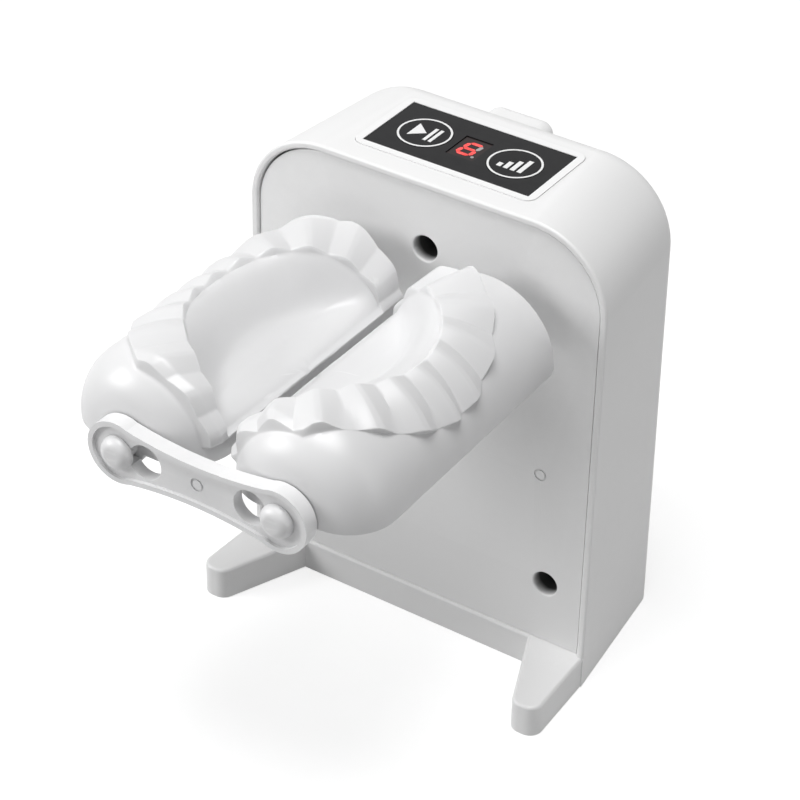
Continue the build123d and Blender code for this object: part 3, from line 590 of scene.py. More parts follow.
def circuit_board(name, base):
    """Solder mask over faint copper tracks."""
    material, tree, shader, place = fresh_material(name)
    tracks = add_node(tree, "ShaderNodeTexBrick")
    tree.links.new(place, tracks.inputs["Vector"])
    tracks.inputs["Scale"].default_value = 160.0
    tracks.inputs["Mortar Size"].default_value = 0.05
    tracks.inputs["Color1"].default_value = opaque(base)
    tracks.inputs["Color2"].default_value = opaque(tinted(base, TRACK_TINT))
    tracks.inputs["Mortar"].default_value = opaque(tinted(base, TRACK_GAP_TINT))
    smudged = place_effect(tree, handling_smudges(), Place=place, Roughness=0.35, Gloss_Change=0.2)
    tree.links.new(tracks.outputs["Color"], shader.inputs["Base Color"])
    tree.links.new(smudged["Roughness"], shader.inputs["Roughness"])
    relief(tree, shader, tracks.outputs["Fac"], strength=0.3, distance=0.03 * MM)
    return material


def glowing(name, base, strength):
    """Lit display bar: coloured window with a faintly uneven light of its own."""
    material, tree, shader, place = fresh_material(name)
    cloud = noise(tree, place, scale=900.0)
    dim = opaque(tinted(base, GLOW_DIM_TINT))
    bright = opaque(tinted(base, GLOW_BRIGHT_TINT))
    lit = mixed(tree, spread(tree, cloud, low=0.3, high=0.7), dim, bright)
    tree.links.new(lit, shader.inputs["Base Color"])
    tree.links.new(lit, shader.inputs["Emission Color"])
    shader.inputs["Emission Strength"].default_value = strength
    shader.inputs["Roughness"].default_value = 0.35
    relief(tree, shader, cloud, strength=0.2, distance=0.01 * MM)
    return material


# Mesh helpers

SHARP_ANGLE = math.radians(35.0)


def finished_object(name, mesh_data, material):
    """Puts a built mesh in the scene with smooth faces and sharp corners."""
    mesh = bpy.data.meshes.new(name)
    bmesh.ops.recalc_face_normals(mesh_data, faces=mesh_data.faces)
    mesh_data.to_mesh(mesh)
    mesh_data.free()
    mesh.shade_smooth()
    mesh.set_sharp_from_angle(angle=SHARP_ANGLE)
    mesh.materials.append(material)
    piece = bpy.data.objects.new(name, mesh)
    bpy.context.scene.collection.objects.link(piece)
    return piece


def add_face(mesh_data, corners):
    """A face from its corners, without repeated corners and if it isn't there yet."""
    kept = []
    for corner in corners:
        if corner not in kept:
            kept.append(corner)
    if len(kept) > 2 and mesh_data.faces.get(kept) is None:
        mesh_data.faces.new(kept)


def join_rows(mesh_data, first, second, closed=False):
    """Faces between two rows of equally many vertices."""
    count = len(first)
    for index in range(count if closed else count - 1):
        following = (index + 1) % count
        add_face(mesh_data, (first[index], first[following], second[following], second[index]))


def smoother(value):
    """Smooth step from 0 to 1."""
    value = min(max(value, 0.0), 1.0)
    return value * value * (3 - 2 * value)


def ease_out(value):
    """Rise that is steep at first and flat at 1."""
    value = min(max(value, 0.0), 1.0)
    return 1 - (1 - value) ** 2


def between(first, second, share):
    """Value between two values."""
    return first + (second - first) * share


# Half-moon moulds

NOTHING = 1e-9

# Pleats, in shares of one pleat: where its points lie, how wide its ridge is and how soft
PLEAT_STEPS = (0.0, 0.05, 0.14, 0.26, 0.36, 0.42, 0.45, 0.5, 0.55, 0.58, 0.64, 0.74, 0.86, 0.95)
RIDGE_FLAT = 0.12
RIDGE_SOFT = 0.025
PLEAT_SHIFT = 0.25

# How near the fan's ends a turn may come, and how far the valleys stay above the skin
FAN_END_TURN = 0.01
VALLEY_OVER_SKIN = 0.12 * MM

# Pocket: runs over which its floor comes up to its edges, its lip and its rows
BOWL_RUN_CURVED = 24 * MM
BOWL_RUN_STRAIGHT = 20 * MM
FLOOR_RUN = 16 * MM
SHELF_RUN = 9 * MM
SHELF_DROP = 1.3 * MM
LIP_THICKNESS = 0.75 * MM
POCKET_UNDER_RIDGE = 0.3 * MM
POCKET_ROWS = 30
POCKET_ROW_POWER = 1.5
POCKET_ROW_SHARE = 0.6

# Fan: rows as shares of its width, the first three with their share of the pocket wall's height
BAND_INNER_ROWS = ((0.012, 0.25), (0.03, 0.8), (0.05, 1.0))
BAND_ROWS = 14
BAND_FROM = 0.07
BAND_TO = 0.93
BAND_OUTER_ROWS = (0.955, 0.975, 0.988)

# Skin outside the fan: its first rows with their share of the pleats' height, then the others
FAN_FOOT_ROWS = ((0.0, 0.9), (0.12 * MM, 0.35), (0.28 * MM, 0.08), (0.5 * MM, 0.0))
SKIN_START = 0.55 * MM
SKIN_FIRST_SHARE = 0.01
SKIN_ROWS = 30
SKIN_ROW_POWER = 1.35

# Strip below the lip, in steps down from it
LIP_STEPS = tuple(step * MM for step in (0.35, 0.7, 0.95, 1.2, 1.45, 1.8, 2.6, 3.8, 5.2))
LIP_STEP_LIMIT = 0.97
LIP_FALL_START = 0.5 * MM
LIP_FALL = 1.0 * MM

# Ends, underside and bosses
END_TOLERANCE = 0.02 * MM
END_ROWS = (0.5, 1.0)
UNDERSIDE_ROWS = 60
UNDERSIDE_FLOOR = 1.0 * MM
UNDERSIDE_LEAST = 0.5 * MM
BOSS_STEPS = 48
BOSS_CHAMFER = 0.3 * MM
BOSS_SET_BACK = 0.01 * MM


class MouldForm:
    """Skin of one half-moon mould laid flat: around is the way up from the nip, along is to the front."""

    def __init__(self, sizes, side):
        self.sizes = sizes
        self.side = side
        name = "left" if side == LEFT else "right"
        low, high, middle = node_size(f"{name}_mould")
        self.axis = joint_point(f"{name}_roller_spin")
        self.middle = middle.y
        self.half = (high.y - low.y) / 2
        self.dome_start = self.half - sizes.dome
        self.back_start = self.half - sizes.back_round
        self.front_edge = self.dome_start + sizes.dome * math.pi / 2
        self.back_edge = -(self.back_start + sizes.back_round * math.pi / 2)
        self.lip = sizes.rim_radius * sizes.lip_angle
        self.phase = PLEAT_SHIFT * side

    def skin_angle(self, along):
        """Angle turned round the front or back edge at a distance along the skin."""
        if along > self.dome_start:
            return (along - self.dome_start) / self.sizes.dome
        if along < -self.back_start:
            return (-along - self.back_start) / self.sizes.back_round
        return 0.0

    def skin(self, along):
        """Depth from the middle and skin radius at a distance along the skin."""
        sizes = self.sizes
        turn = min(self.skin_angle(along), math.pi / 2)
        out = math.sin(turn)
        inwards = 1 - math.cos(turn)
        cone = (max(min(along, self.dome_start), -self.half) + self.half) / (2 * self.half)
        radius = between(sizes.back_radius, sizes.front_radius, cone)
        if along > self.dome_start:
            return self.dome_start + sizes.dome * out, radius - sizes.dome * inwards
        if along < -self.back_start:
            return -self.back_start - sizes.back_round * out, radius - sizes.back_round * inwards
        return along, radius

    def along_skin(self, depth):
        """Distance along the skin at a depth from the middle."""
        if depth > self.dome_start:
            return self.dome_start + self.sizes.dome * math.asin((depth - self.dome_start) / self.sizes.dome)
        return depth

    def ridge(self, along):
        """Radius of the pleat ridges."""
        return min(self.sizes.rim_radius, self.skin(along)[1] + self.sizes.rise)

    def pleat(self, turn):
        """Height in the zigzag, 0 in a valley and 1 on a ridge, for a turn round the fan."""
        phase = (turn / math.pi + 0.5) * self.sizes.pleats + self.phase
        part = phase - math.floor(phase)
        zigzag = 1 - abs(2 * part - 1)
        fall = max(1 - zigzag - RIDGE_FLAT, 0.0) / (1 - RIDGE_FLAT)
        top = math.sqrt(fall**2 + RIDGE_SOFT**2) - RIDGE_SOFT
        return 1 - top / (math.sqrt(1 + RIDGE_SOFT**2) - RIDGE_SOFT)

    def pleat_radius(self, turn, along, share):
        """Radius of the pleats, from the pocket edge at share 0 to the outer edge at share 1."""
        sizes = self.sizes
        outer_depth = sizes.left_depth if self.side == LEFT else sizes.right_depth
        depth = between(sizes.inner_depth, outer_depth, smoother(share))
        low = self.skin(along)[1] + VALLEY_OVER_SKIN
        return max(self.ridge(along) - depth * (1 - self.pleat(turn)), low)

    def pocket_edge(self, turn):
        """Where the pocket's curved edge lies, flat."""
        sizes = self.sizes
        depth = sizes.inner_along * math.sin(turn)
        return self.lip + (sizes.inner_round - self.lip) * math.cos(turn), self.along_skin(depth)

    def fan_edge(self, turn):
        """Where the fan's outer edge lies, flat."""
        sizes = self.sizes
        power = 2 / sizes.outer_power
        reach = sizes.outer_along * abs(math.sin(turn)) ** power
        limit = sizes.front_limit if turn > 0 else sizes.back_limit
        depth = math.copysign(min(reach, limit), turn)
        around = max(math.cos(turn), 0.0) ** power
        return self.lip + (sizes.outer_round - self.lip) * around, self.along_skin(depth)

    def pocket_radius(self, around, along, share):
        """Radius of the pocket floor; share is 0 at its middle and 1 at its curved edge."""
        sizes = self.sizes
        from_lip = around - self.lip
        from_edge = (1 - share) * sizes.inner_along
        open_angle = around / sizes.rim_radius - sizes.chord_angle
        sunk = sizes.bowl * ease_out(from_edge / BOWL_RUN_CURVED) * ease_out(from_lip / BOWL_RUN_STRAIGHT)
        plane = (sizes.chord - sunk) / math.cos(open_angle)
        edge_floor = self.ridge(along) - sizes.wall
        floor = between(edge_floor, plane, ease_out(from_edge / FLOOR_RUN))
        floor = between(sizes.lip_radius - SHELF_DROP, floor, smoother(from_lip / SHELF_RUN))
        lip = SHELF_DROP * math.exp(-((from_lip / LIP_THICKNESS) ** 2))
        return min(floor + lip, self.ridge(along) - POCKET_UNDER_RIDGE)

    def underside_angle(self, radius):
        """How far below the axis plane the skin goes at a radius."""
        return math.asin(min(self.sizes.undercut / radius, 1.0))

    def point(self, around, along, radius):
        """Place in the frame of a flat spot at a radius."""
        depth = self.skin(along)[0]
        return self.place(around / self.sizes.rim_radius, depth, radius)

    def place(self, turned, depth, radius):
        """Place in the frame of an angle up from the nip, a depth and a radius."""
        return Vector(
            (
                self.axis.x - self.side * radius * math.cos(turned),
                self.middle - depth,
                self.axis.z + radius * math.sin(turned),
            )
        )

    def turns(self):
        """Turns round the fan, fine on the ridges and in the valleys."""
        step = math.pi / self.sizes.pleats
        spots = [-math.pi / 2, math.pi / 2]
        for pleat in range(-1, self.sizes.pleats + 1):
            for part in PLEAT_STEPS:
                turn = (pleat + part - self.phase) * step - math.pi / 2
                if abs(turn) < math.pi / 2 - FAN_END_TURN:
                    spots.append(turn)
        return sorted(spots)


def mould_rows(form):
    """Rows of (around, along, radius) from the lip's middle out to the skin's border, by turns."""
    sizes = form.sizes
    turns = form.turns()
    far = sizes.rim_radius * (math.pi + form.underside_angle(sizes.front_radius))
    rows = []

    def row(spot):
        """Adds a row: a spot for each turn."""
        rows.append([spot(turn) for turn in turns])

    for index in range(1, POCKET_ROWS + 1):
        share = index / POCKET_ROWS
        share = between(share, 1 - (1 - share) ** POCKET_ROW_POWER, POCKET_ROW_SHARE)

        def pocket_spot(turn, share=share):
            """Spot on the pocket's floor."""
            around, along = form.pocket_edge(turn)
            around = between(form.lip, around, share)
            along *= share
            return around, along, form.pocket_radius(around, along, share)

        row(pocket_spot)

    middle_rows = [between(BAND_FROM, BAND_TO, index / BAND_ROWS) for index in range(BAND_ROWS + 1)]
    band = list(BAND_INNER_ROWS)
    band += [(share, 1.0) for share in (*middle_rows, *BAND_OUTER_ROWS)]
    for share, height in band:

        def band_spot(turn, share=share, height=height):
            """Spot on the pleats or on the wall at their foot."""
            inner = form.pocket_edge(turn)
            outer = form.fan_edge(turn)
            around = between(inner[0], outer[0], share)
            along = between(inner[1], outer[1], share)
            top = form.pleat_radius(turn, along, share)
            if height < 1:
                foot = form.pocket_radius(inner[0], inner[1], 1.0)
                top = between(foot, top, height)
            return around, along, top

        row(band_spot)

    def border(turn):
        """Where the skin ends, straight outwards from the fan's edge."""
        outer = form.fan_edge(turn)
        run = (outer[0] - form.lip, outer[1])
        scales = []
        if run[0] > NOTHING:
            scales.append((far - form.lip) / run[0])
        if run[1] > NOTHING:
            scales.append(form.front_edge / run[1])
        if run[1] < -NOTHING:
            scales.append(form.back_edge / run[1])
        scale = min(scales)
        return form.lip + run[0] * scale, run[1] * scale

    borders = [border(turn) for turn in turns]
    for corner in ((far, form.front_edge), (far, form.back_edge)):
        nearest = min(range(len(turns)), key=lambda k: math.dist(borders[k], corner))
        borders[nearest] = corner
    ends = dict(zip(turns, borders))

    def skin_spot(turn, share, height=0.0, step=0.0):
        """Spot on the skin between the fan and the border, moved on by a step."""
        outer = form.fan_edge(turn)
        end = ends[turn]
        reach = math.dist(outer, end)
        share = min(share + step / reach, 1.0) if reach > NOTHING else share
        around = between(outer[0], end[0], share)
        along = between(outer[1], end[1], share)
        radius = form.skin(along)[1]
        if height:
            radius = between(radius, form.pleat_radius(turn, outer[1], 1.0), height)
        if abs(end[0] - far) < NOTHING:
            limit = sizes.rim_radius * (math.pi + form.underside_angle(form.skin(along)[1]))
            around = between(around, outer[0] + (limit - outer[0]) * share, smoother(share))
        return around, along, radius

    for step, height in FAN_FOOT_ROWS:
        row(lambda turn, step=step, height=height: skin_spot(turn, 0.0, height, step))
    for index in range(1, SKIN_ROWS + 1):
        share = 1 - (1 - index / SKIN_ROWS) ** SKIN_ROW_POWER
        step = SKIN_START * (1 - share)
        share = max(share, SKIN_FIRST_SHARE)
        row(lambda turn, share=share, step=step: skin_spot(turn, share, step=step))
    return rows


def build_skin(mesh_data, form):
    """Pocket, pleats and skin of one mould. Returns the vertices of the border, back end first."""
    sizes = form.sizes
    rows = mould_rows(form)
    centre_spot = (form.lip, 0.0, form.pocket_radius(form.lip, 0.0, 0.0))
    centre = mesh_data.verts.new(form.point(*centre_spot))
    grid = [[mesh_data.verts.new(form.point(*spot)) for spot in row] for row in rows]
    for index in range(len(grid[0]) - 1):
        add_face(mesh_data, (centre, grid[0][index], grid[0][index + 1]))
    for inner, outer in zip(grid, grid[1:]):
        join_rows(mesh_data, inner, outer)

    # Strip between the pocket's straight edge and the underside, along the nip
    line = [(row[0], vertices[0]) for row, vertices in zip(reversed(rows), reversed(grid))]
    line.append((centre_spot, centre))
    line += [(row[-1], vertices[-1]) for row, vertices in zip(rows, grid)]
    previous = [vertex for _, vertex in line]
    top = [spot for spot, _ in line]
    for step in (*LIP_STEPS, None):
        strip = []
        for _, along, radius in top:
            base = form.skin(along)[1]
            around = lowest = -sizes.rim_radius * form.underside_angle(base)
            held = 0.0
            if step is not None:
                around = between(form.lip, lowest, min(step / (form.lip - lowest), LIP_STEP_LIMIT))
                held = 1 - smoother((step - LIP_FALL_START) / LIP_FALL)
            strip.append(mesh_data.verts.new(form.point(around, along, between(base, radius, held))))
        join_rows(mesh_data, previous, strip)
        previous = strip
        grid[-1].insert(0, strip[0])
        grid[-1].append(strip[-1])
    return grid[-1]


def close_end(mesh_data, form, border, front):
    """Flat end of a mould, from its border in to the bore."""
    sizes = form.sizes
    depth = form.half if front else -form.half
    bore = sizes.pin_bore if front else sizes.socket_radius
    edge = [vertex for vertex in border if abs(form.middle - vertex.co.y - depth) < END_TOLERANCE]
    for share in END_ROWS:
        inner = []
        for vertex in edge:
            across = (vertex.co.x - form.axis.x) * -form.side
            up = vertex.co.z - form.axis.z
            radius = math.hypot(across, up)
            turned = math.atan2(up, across)
            if turned < -math.pi / 2:
                turned += 2 * math.pi
            goal = between(radius, bore, share)
            spread_now = math.pi / 2 + form.underside_angle(radius)
            spread_goal = math.pi / 2 + form.underside_angle(goal)
            turned = math.pi / 2 + (turned - math.pi / 2) * spread_goal / spread_now
            inner.append(mesh_data.verts.new(form.place(turned, depth, goal)))
        join_rows(mesh_data, edge, inner)
        edge = inner


def build_underside(mesh_data, form):
    """Rim of the open underside, and the floor hidden in the cover."""
    sizes = form.sizes
    rows = []
    for index in range(UNDERSIDE_ROWS + 1):
        along = between(form.back_edge, form.front_edge, index / UNDERSIDE_ROWS)
        depth, radius = form.skin(along)
        half_width = math.sqrt(max(radius**2 - sizes.undercut**2, 0.0))
        low = form.axis.z - sizes.undercut
        high = low + UNDERSIDE_FLOOR
        inside = max(half_width - sizes.shell, UNDERSIDE_LEAST)
        closed = abs(depth) > form.half - sizes.shell
        level = low if closed else high
        spots = (
            (-half_width, low),
            (-inside, low),
            (-inside, level),
            (inside, level),
            (inside, low),
            (half_width, low),
        )
        rows.append([mesh_data.verts.new((form.axis.x + x, form.middle - depth, z)) for x, z in spots])
    for first, second in zip(rows, rows[1:]):
        join_rows(mesh_data, first, second)


def circle(steps):
    """Angles of a full turn in equal steps."""
    return [2 * math.pi * k / steps for k in range(steps)]


def add_tube(mesh_data, form, profile):
    """Turned ring about the roller axis from a profile of (radius, depth from the middle) points."""
    rings = []
    for radius, depth in profile:
        ring = [form.place(turned, depth, radius) for turned in circle(BOSS_STEPS)]
        rings.append([mesh_data.verts.new(spot) for spot in ring])
    for first, second in zip(rings, rings[1:]):
        join_rows(mesh_data, first, second, closed=True)


def add_bosses(mesh_data, form):
    """Bosses round the drive socket at the back and round the pin at the front."""
    sizes = form.sizes
    back = -form.half
    back_end = back + sizes.socket_length
    socket = (
        (sizes.socket_bore, back_end - BOSS_CHAMFER),
        (sizes.socket_bore, back),
        (sizes.socket_radius - BOSS_CHAMFER, back),
        (sizes.socket_radius, back + BOSS_CHAMFER),
        (sizes.socket_radius, back_end),
        (sizes.socket_bore, back_end),
    )
    front = form.half
    front_end = front - sizes.pin_length
    pin = (
        (sizes.pin_bore, front - BOSS_SET_BACK),
        (sizes.pin_radius - BOSS_CHAMFER, front - BOSS_SET_BACK),
        (sizes.pin_radius, front - BOSS_CHAMFER),
        (sizes.pin_radius, front_end),
        (sizes.pin_bore, front_end),
    )
    add_tube(mesh_data, form, socket)
    add_tube(mesh_data, form, pin)


class DUMPLING_OT_make_moulds(bpy.types.Operator):
    """Make both pleated half-moon moulds in place of the plain ones"""

    bl_idname = "dumpling.make_moulds"
    bl_label = "Make Moulds"
    bl_options = {"REGISTER", "UNDO"}

    def execute(self, context):
        sizes = context.scene.dumpling_mould
        for side, name in ((LEFT, "left"), (RIGHT, "right")):
            form = MouldForm(sizes, side)
            mesh_data = bmesh.new()
            border = build_skin(mesh_data, form)
            close_end(mesh_data, form, border, front=True)
            close_end(mesh_data, form, border, front=False)
            build_underside(mesh_data, form)
            add_bosses(mesh_data, form)
            piece = finished_object(f"{name}_mould_skin", mesh_data, finish("mould_white"))
            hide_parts(f"{name}_mould")
            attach(piece, f"{name}_roller")
        return {"FINISHED"}


# Panel marks

# Printed rings, and the depth below a cap's highest spot that counts as its face
PRINT_RING_STEPS = 96
PRINT_RING_SLOPE = 0.8
CAP_FACE_DEPTH = 0.3 * MM

# Signs on the buttons, in halves of a sign's height
TRIANGLE_BACK = -1.05
TRIANGLE_TIP = 0.15
HOLD_BARS = (0.38, 0.86)
HOLD_BAR_WIDTH = 0.28
LEVEL_BARS = 4
LEVEL_BAR_WIDTH = 0.38
LEVEL_BAR_FIRST = -1.1
LEVEL_BAR_STEP = 0.6
LEVEL_TOP_FIRST = -0.45
LEVEL_TOP_STEP = 0.48

# Display digit, in shares of its stroke
DIGIT_GAP = 0.12
DOT_ACROSS = 0.75
DOT_DOWN = 0.2
DOT_RADIUS = 0.42
DOT_STEPS = 24


def flat_shape(mesh_data, outline, low, high):
    """A thin printed shape: its outline raised from low to high, with a top."""
    top = [mesh_data.verts.new((x, y, high)) for x, y in outline]
    foot = [mesh_data.verts.new((x, y, low)) for x, y in outline]
    mesh_data.faces.new(top)
    join_rows(mesh_data, top, foot, closed=True)


def circle_spots(centre, radius, steps):
    """Spots in a circle about a centre, as (x, y)."""
    return [
        (centre.x + radius * math.cos(turn), centre.y + radius * math.sin(turn)) for turn in circle(steps)
    ]


def flat_ring(mesh_data, centre, inner, outer, low, high):
    """A thin printed ring with sloping edges."""
    step = (high - low) * PRINT_RING_SLOPE
    profile = ((inner, low), (inner + step, high), (outer - step, high), (outer, low))
    rings = []
    for radius, level in profile:
        spots = circle_spots(centre, radius, PRINT_RING_STEPS)
        rings.append([mesh_data.verts.new((x, y, level)) for x, y in spots])
    for first, second in zip(rings, rings[1:]):
        join_rows(mesh_data, first, second, closed=True)


def bar_shape(start, end, width):
    """Outline of a display bar with pointed ends."""
    start = Vector(start)
    end = Vector(end)
    run = (end - start).normalized()
    side = Vector((-run.y, run.x)) * width / 2
    tip = run * width / 2
    return (start, start + tip + side, end - tip + side, end, end - tip - side, start + tip - side)


def upright_bar(left, width, low, high):
    """Outline of an upright bar."""
    return ((left, low), (left + width, low), (left + width, high), (left, high))


def cap_radius(node):
    """Radius of a button's cap: the widest spot of its top face."""
    piece = frame["nodes"][node]
    low, high, middle = node_size(node)
    reach = 0.0
    for vertex in piece.data.vertices:
        spot = piece.matrix_world @ vertex.co
        if high.z - spot.z < CAP_FACE_DEPTH:
            reach = max(reach, math.hypot(spot.x - middle.x, spot.y - middle.y))
    return min(reach, min(high.x - low.x, high.y - low.y) / 2)


class DUMPLING_OT_mark_panel(bpy.types.Operator):
    """Print the rings and signs on the buttons and set the digit in the display"""

    bl_idname = "dumpling.mark_panel"
    bl_label = "Mark Panel"
    bl_options = {"REGISTER", "UNDO"}

    def execute(self, context):
        sizes = context.scene.dumpling_panel
        self.button_marks(sizes, "start_button", "start_key", self.start_signs)
        self.button_marks(sizes, "mode_button", "mode_key", self.level_signs)
        self.digit(sizes)
        return {"FINISHED"}

    def start_signs(self, size):
        """Run triangle beside two hold bars."""
        half = size / 2
        back = TRIANGLE_BACK * half
        yield ((back, -half), (back, half), (TRIANGLE_TIP * half, 0.0))
        for left in HOLD_BARS:
            yield upright_bar(left * half, HOLD_BAR_WIDTH * half, -half, half)

    def level_signs(self, size):
        """Rising level bars."""
        half = size / 2
        for index in range(LEVEL_BARS):
            left = half * (LEVEL_BAR_FIRST + LEVEL_BAR_STEP * index)
            top = half * (LEVEL_TOP_FIRST + LEVEL_TOP_STEP * index)
            yield upright_bar(left, LEVEL_BAR_WIDTH * half, -half, top)

    def button_marks(self, sizes, node, body, signs):
        """Ring and signs printed on one button; they move with its body."""
        _, high, middle = node_size(node)
        face = high.z
        top = face + sizes.print_height
        outer = cap_radius(node) - sizes.ring_inset
        mesh_data = bmesh.new()
        flat_ring(mesh_data, middle, outer - sizes.ring_width, outer, face, top)
        for outline in signs(sizes.mark_size):
            flat_shape(mesh_data, [(middle.x + x, middle.y + y) for x, y in outline], face, top)
        piece = finished_object(f"{node}_print", mesh_data, finish("panel_print"))
        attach(piece, body)

    def digit(self, sizes):
        """Lit and unlit bars of the digit, with its dot, on the display's face."""
        centre = node_size("panel_film")[2]
        face = node_size("display_module")[1].z
        top = face + sizes.print_height
        lean = math.tan(sizes.slant)
        wide = (sizes.digit_width - sizes.stroke) / 2
        tall = (sizes.digit_height - sizes.stroke) / 2
        gap = sizes.stroke * DIGIT_GAP
        bars = {
            "top": ((-wide + gap, tall), (wide - gap, tall)),
            "middle": ((-wide + gap, 0.0), (wide - gap, 0.0)),
            "bottom": ((-wide + gap, -tall), (wide - gap, -tall)),
            "upper_left": ((-wide, gap), (-wide, tall - gap)),
            "lower_left": ((-wide, -tall + gap), (-wide, -gap)),
            "lower_right": ((wide, -tall + gap), (wide, -gap)),
            "upper_right": ((wide, gap), (wide, tall - gap)),
        }
        for name, unlit in (("display_lit", False), ("display_unlit", True)):
            mesh_data = bmesh.new()
            for bar, (start, end) in bars.items():
                if (bar == "upper_right") != unlit:
                    continue
                outline = bar_shape(start, end, sizes.stroke)
                spots = [(centre.x + spot.x + spot.y * lean, centre.y + spot.y) for spot in outline]
                flat_shape(mesh_data, spots, face, top)
            if unlit:
                across = centre.x + wide + sizes.stroke * DOT_ACROSS
                down = centre.y - tall - sizes.stroke * DOT_DOWN
                dot = circle_spots(Vector((across, down)), sizes.stroke * DOT_RADIUS, DOT_STEPS)
                flat_shape(mesh_data, dot, face, top)
            piece = finished_object(name, mesh_data, finish(name))
            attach(piece, "housing")


# Finishes

# Where the painted shade in the front plate's holes begins, and over what depth
PLATE_FACE = node_size("front_plate")[0].y + 0.7 * MM
PLATE_HOLE_REACH = 3.0 * MM

# Maker, colour setting and values of each finish
FINISHES = {
    "housing_white": (plastic, "housing", dict(roughness=0.36, grain=1600.0, depth=0.010)),
    "panel_frame_white": (plastic, "housing", dict(roughness=0.30, grain=1600.0, depth=0.006)),
    "plate_grey": (
        plastic,
        "plate",
        dict(
            roughness=0.55,
            grain=3200.0,
            depth=0.020,
            change=0.04,
            smudge=0.04,
            # sunk paints shade into the plate's holes
            sunk=(PLATE_FACE, PLATE_HOLE_REACH),
        ),
    ),
    "mould_white": (plastic, "mould", dict(roughness=0.33, grain=1400.0, depth=0.008)),
    "port_white": (plastic, "port", dict(roughness=0.38, grain=1600.0, depth=0.010)),
    "film_black": (
        plastic,
        "film",
        dict(roughness=0.09, grain=700.0, depth=0.002, change=0.01, edge=0.02, smudge=0.10, shine=0.1),
    ),
    "display_dark": (
        plastic,
        "display",
        dict(roughness=0.12, grain=900.0, depth=0.002, change=0.01, edge=0.02, shine=0.12),
    ),
    "panel_print": (
        plastic,
        "mark_colour",
        dict(roughness=0.45, grain=5200.0, depth=0.004, change=0.08, edge=0.1),
    ),
    "display_lit": (glowing, "lit_colour", dict(strength=0.35)),
    "display_unlit": (plastic, "unlit_colour", dict(roughness=0.4, grain=4000.0, depth=0.004)),
    "steel": (metal, "steel", dict(roughness=0.32)),
    # dark steel of the plate screws, painted shade of their holes
    "blackened_steel": (metal, "blackened", dict(roughness=0.5)),
    "brass": (metal, "brass", dict(roughness=0.36, lines=2600.0)),
    "gear_white": (plastic, "gear", dict(roughness=0.45, grain=2200.0, depth=0.012)),
    "inner_black": (plastic, "inner", dict(roughness=0.5, grain=3000.0, depth=0.02, change=0.15)),
    "board_green": (circuit_board, "board", {}),
    "cell_wrap": (plastic, "cell", dict(roughness=0.3, grain=900.0, depth=0.01, change=0.08)),
}

# Construction pieces that each finish goes on
NODE_FINISHES = {
    "housing_white": ("housing_shell", "base_stand", "base_bottom_plate"),
    "panel_frame_white": ("panel_frame",),
    "plate_grey": ("front_plate",),
    "mould_white": (
        "left_mould_cover",
        "right_mould_cover",
        "left_drive_socket",
        "right_drive_socket",
        "left_front_pin",
        "right_front_pin",
        "connecting_bar",
        "left_mould",
        "right_mould",
    ),
    "port_white": ("port_housing",),
    "film_black": ("panel_film", "start_button", "mode_button"),
    "display_dark": ("display_module",),
    "steel": (
        "base_screws",
        "gear_bracket",
        "bracket_screws",
        "motor_can",
        "gearbox_screws",
        "left_spindle",
        "right_spindle",
        "output_shaft",
        "board_screws",
    ),
    # dark steel as painted shade of the plate's holes
    "blackened_steel": ("plate_screws",),
    "brass": ("front_bushes", "rear_bushes", "battery_contacts"),
    "gear_white": ("left_gear", "right_gear", "drive_pinion"),
    "inner_black": ("gearbox", "battery_tray", "tact_switches", "charging_port"),
    "board_green": ("control_board",),
    "cell_wrap": ("battery_cell",),
}


def setting_colour(key):
    """A colour from the settings of the finishes or of the panel."""
    scene = bpy.context.scene
    for group in (scene.dumpling_finish, scene.dumpling_panel):
        if hasattr(group, key):
            return tuple(getattr(group, key))
    raise RuntimeError(f"there is no colour setting {key}")


def finish(name):
    """The finish of that name, made on first use."""
    made = f"{name}_finish"
    if made in bpy.data.materials:
        return bpy.data.materials[made]
    maker, key, values = FINISHES[name]
    return maker(made, setting_colour(key), **values)


class DUMPLING_OT_finish_parts(bpy.types.Operator):
    """Give every carried-over construction piece its finish"""

    bl_idname = "dumpling.finish_parts"
    bl_label = "Finish Parts"
    bl_options = {"REGISTER", "UNDO"}

    def execute(self, context):
        finished = set()
        for name, nodes in NODE_FINISHES.items():
            for node in nodes:
                piece = frame["nodes"][node]
                for slot in piece.material_slots:
                    slot.material = finish(name)
                if not piece.material_slots:
                    piece.data.materials.append(finish(name))
                finished.add(node)
        missed = set(frame["nodes"]) - finished
        if missed:
            raise RuntimeError(f"these pieces have no finish: {sorted(missed)}")
        return {"FINISHED"}


# Stage

# Name, place, width and height, and power setting of each lamp
LAMPS = (
    ("key_lamp", (-0.85, -0.75, 0.55), (0.5, 0.5), "key_power"),
    ("top_lamp", (0.05, -0.20, 1.10), (0.6, 0.6), "top_power"),
    ("side_lamp", (1.00, -0.05, 0.45), (0.25, 0.9), "side_power"),
)
LAMP_TARGET = Vector((0.0, -0.03, 0.08))
SENSOR_WIDTH = 36.0
VIEW_END = 20.0
WHITE = (1.0, 1.0, 1.0)
FLOOR_STEPS = 24
FLOOR_REACH = 3.0
FLOOR_CLOUD_SCALE = 3.0
FLOOR_LIFT = 0.62


def area_lamp(name, place, size, watts):
    """A soft lamp with straight sides, turned towards the object."""
    data = bpy.data.lights.new(name, "AREA")
    data.shape = "RECTANGLE"
    data.size, data.size_y = size
    data.energy = watts
    lamp = bpy.data.objects.new(name, data)
    lamp.location = place
    lamp.rotation_euler = (LAMP_TARGET - lamp.location).to_track_quat("-Z", "Y").to_euler()
    bpy.context.scene.collection.objects.link(lamp)


